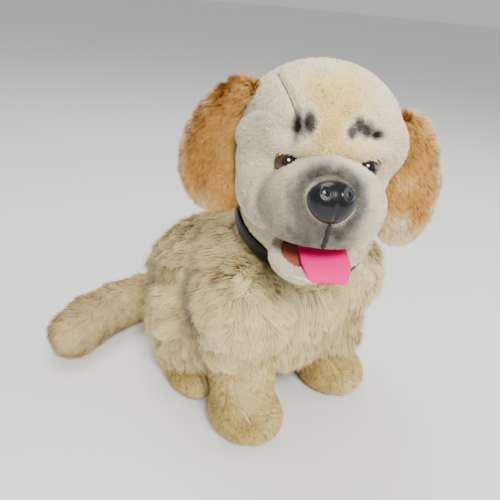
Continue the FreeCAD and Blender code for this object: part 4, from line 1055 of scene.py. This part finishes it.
def lashes(name, centre):
    """Short dark lashes on the upper edge of an eye."""
    n = 60
    angle = np.radians(rng.uniform(25, 155, n))
    out = np.stack([np.cos(angle), np.full(n, -0.45), np.sin(angle)], axis=1)
    root = np.array(centre) + 6.9 * unit(out)
    lid = SimpleNamespace(place=HEAD, body="head")
    comb = unit(out * (1, 1, 0.5) + (0, -0.9, 0))
    length = rng.uniform(2.0, 3.2, n)
    pile(name, lid, root, unit(out), comb, length, VELOUR, np.full(n, 0.03),
         lift=np.full(n, 0.2), sag=0.1, width=0.35, steps=2, stray=0.12)


lashes("lashes_right", EYES[0])
lashes("lashes_left", EYES[1])


NOSE_TURN = about_z(9)


def nose_field(p):
    """A rounded moulding with two nostril rings and a groove down its front, flat at the back."""
    q = (p - NOSE) @ NOSE_TURN
    narrow = 1 + 0.016 * np.clip(4 - q[:, 2], 0, 20)
    out = oval(np.stack([q[:, 0] * narrow, q[:, 1], q[:, 2]], axis=1), (0, 0, -0.4), (12.6, 8.2, 10.4))
    for side in (-1, 1):
        hole = q - (side * 5.3, -7.0, 4.8)
        flat = np.sqrt(hole[:, 0] ** 2 + hole[:, 2] ** 2)
        rim = np.exp(-(((flat - 2.9) / 0.35) ** 2))
        dimple = np.exp(-((flat / 1.3) ** 2))
        front = hole[:, 1] < 5
        out = out - np.where(front, 0.22 * rim, 0) + np.where(front, 0.45 * dimple, 0)
    groove = np.exp(-((q[:, 0] / 0.9) ** 2)) * np.clip((1.5 - q[:, 2]) / 3, 0, 1) * (q[:, 1] < 0)
    return np.maximum(out + 0.5 * groove, q[:, 1] - 3)


obj = plain("nose_moulding", nose_field, (-16, -99, 8), (16, -82, 36), 0.4,
            HEAD, "head", BLACK)
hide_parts("nose")


# -------- collar
def collar_mesh():
    """The strap: a flat rounded band on the neck ball, in its tilted plane."""
    around, ring = 260, 28
    spin = np.arange(around) / around * 2 * math.pi
    side, back = np.array([1.0, 0, 0]), np.cross(STRAP_NORMAL, (1, 0, 0))
    spoke = np.cos(spin)[:, None] * side + np.sin(spin)[:, None] * back
    a = np.arange(ring) / ring * 2 * math.pi
    high = 4.9 * np.sign(np.cos(a)) * np.abs(np.cos(a)) ** 0.4
    far = 43.9 + 1.2 * np.sign(np.sin(a)) * np.abs(np.sin(a)) ** 0.5
    far = far - np.where(np.abs(np.abs(high) - 3.9) < 0.25, 0.25, 0) * (np.sin(a) > 0)
    level = (STRAP_CENTRE - NECK_CENTRE) @ STRAP_NORMAL + high
    reach = np.sqrt(far**2 - level**2)
    points = NECK_CENTRE + level[None, :, None] * STRAP_NORMAL + reach[None, :, None] * spoke[:, None]
    index = np.arange(around * ring).reshape(around, ring)
    after = np.roll(index, -1, 0)
    quads = np.stack([index, np.roll(index, -1, 1), np.roll(after, -1, 1), after], axis=-1)
    return points.reshape(-1, 3), [quads.reshape(-1, 4)]


points, groups = collar_mesh()
obj = build("collar_band", points, groups, VINYL, BODY, "torso")
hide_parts("collar_strap")


# -------- stitches, and the painted shadow of the temple seam
def thread(name, line, radius, mat, place, body, field, rise):
    """A sewn line, or a dark line of painted shadow: a thin round thread through points laid a little above a
    skin.
    """
    knots = np.array(line, float)
    s = lengths_along(knots)
    at = np.linspace(0, s[-1], max(8, int(s[-1] / 0.8)))
    mid = onto(field, points_along(knots, s, at), rise)
    way = unit(np.gradient(mid, axis=0))
    side = unit(np.cross(way, (0.3, 0.2, 0.93)))
    up = np.cross(side, way)
    a = np.arange(8) / 8 * 2 * math.pi
    girth = radius * np.sqrt(np.clip(np.minimum(at, at[-1] - at) / radius, 0.05, 1))
    girth = girth * (1 + 0.15 * np.sin(at * 6))
    points = mid[:, None] + girth[:, None, None] * (
        np.cos(a)[None, :, None] * side[:, None] + np.sin(a)[None, :, None] * up[:, None])
    _, quads = tube_faces(len(at), len(a))
    build(name, points.reshape(-1, 3), [quads], mat, place, body)


thread("philtrum_stitch", [(-1.2, -88, 12), (-1.4, -88, 6), (-1.8, -86, 1), (-2.2, -82, -2.5)], 1.1,
       THREAD_DARK, HEAD, "head", head_field, 0.9)
# Painted shadow: a dark thread along the gap of the temple seam.
thread("temple_gap_shadow", TEMPLE_SEAM, 0.28, THREAD_SEAM_SHADOW, HEAD, "head", head_solid, 0.3)
for side, hind, node in PAWS:
    base = paw_fields(side, hind)
    high = 17 if hind else 25
    radius = 0.32 if node == "front_paw_right" else 0.22
    for k, (x, y) in enumerate(toe_dents(side, hind)):
        thread(f"{node}_toe_{k}", [(x, y + 17, high + 5), (x, y + 10, high), (x, y + 5, high - 4)], radius,
               THREAD_PALE, BODY, "torso", base, 2.2)


# -------- finishes of the CAD nodes that still show
slots = {}
for entry in frame["record"].get("materials", []):
    for node in entry.get("nodes", []):
        slots[node] = entry["slot"]
for node, obj in frame["nodes"].items():
    if obj.hide_render:
        continue
    mat = PLASTICS.get(slots.get(node), PLASTICS["dark_plastic"])
    obj.data.materials.clear()
    obj.data.materials.append(mat)


# -------- floor, light and camera
floor_mesh = bpy.data.meshes.new("floor")
floor_mesh.from_pydata([(-15, -15, 0), (15, -15, 0), (15, 15, 0), (-15, 15, 0)], [], [(0, 1, 2, 3)])
paper = grain(shader("floor_paper", (0.86, 0.86, 0.85), rough=0.9), 0.01, 0.00002, 0.03)
floor_mesh.materials.append(paper)
floor = bpy.data.objects.new("floor", floor_mesh)
bpy.context.scene.collection.objects.link(floor)


def lamp(name, at, aim, size, power, tint=(1, 1, 1)):
    data = bpy.data.lights.new(name, "AREA")
    data.shape = "DISK"
    data.size = size
    data.energy = power
    data.color = tint
    obj = bpy.data.objects.new(name, data)
    obj.location = at
    obj.rotation_euler = (Vector(at) - Vector(aim)).to_track_quat("Z", "Y").to_euler()
    bpy.context.scene.collection.objects.link(obj)


middle = (0.0, 0.0, 0.11)
lamp("key", (-0.45, -0.85, 1.0), middle, 0.45, 24, (1.0, 0.98, 0.94))
lamp("fill", (0.9, -0.6, 0.5), middle, 0.9, 6, (0.97, 0.98, 1.0))
lamp("top", (0.1, 0.35, 1.2), middle, 0.8, 8)
world = bpy.data.worlds.new("studio")
world.use_nodes = True
world.node_tree.nodes["Background"].inputs["Color"].default_value = (1, 1, 1, 1)
world.node_tree.nodes["Background"].inputs["Strength"].default_value = 0.55
bpy.context.scene.world = world

# The photograph's camera: how far round, how high, how tilted, and how far off it stands.
azimuth, elevation, roll = math.radians(-42), math.radians(26), math.radians(5)
distance = 0.370
target = Vector((0.0138, -0.0059, 0.110))
back = Vector((math.sin(azimuth) * math.cos(elevation), -math.cos(azimuth) * math.cos(elevation),
               math.sin(elevation)))
right = Vector((math.cos(azimuth), math.sin(azimuth), 0))
up = back.cross(right)
right, up = (right * math.cos(roll) + up * math.sin(roll), up * math.cos(roll) - right * math.sin(roll))
camera = bpy.data.objects.new("camera", bpy.data.cameras.new("camera"))
camera.data.lens = 37.44
camera.data.sensor_width = 36
bpy.context.scene.collection.objects.link(camera)
turned = camera.matrix_world.to_3x3()
for k, axis in enumerate((right, up, back)):
    turned.col[k] = axis
camera.matrix_world = turned.to_4x4()
camera.location = target + back * distance
bpy.context.scene.camera = camera
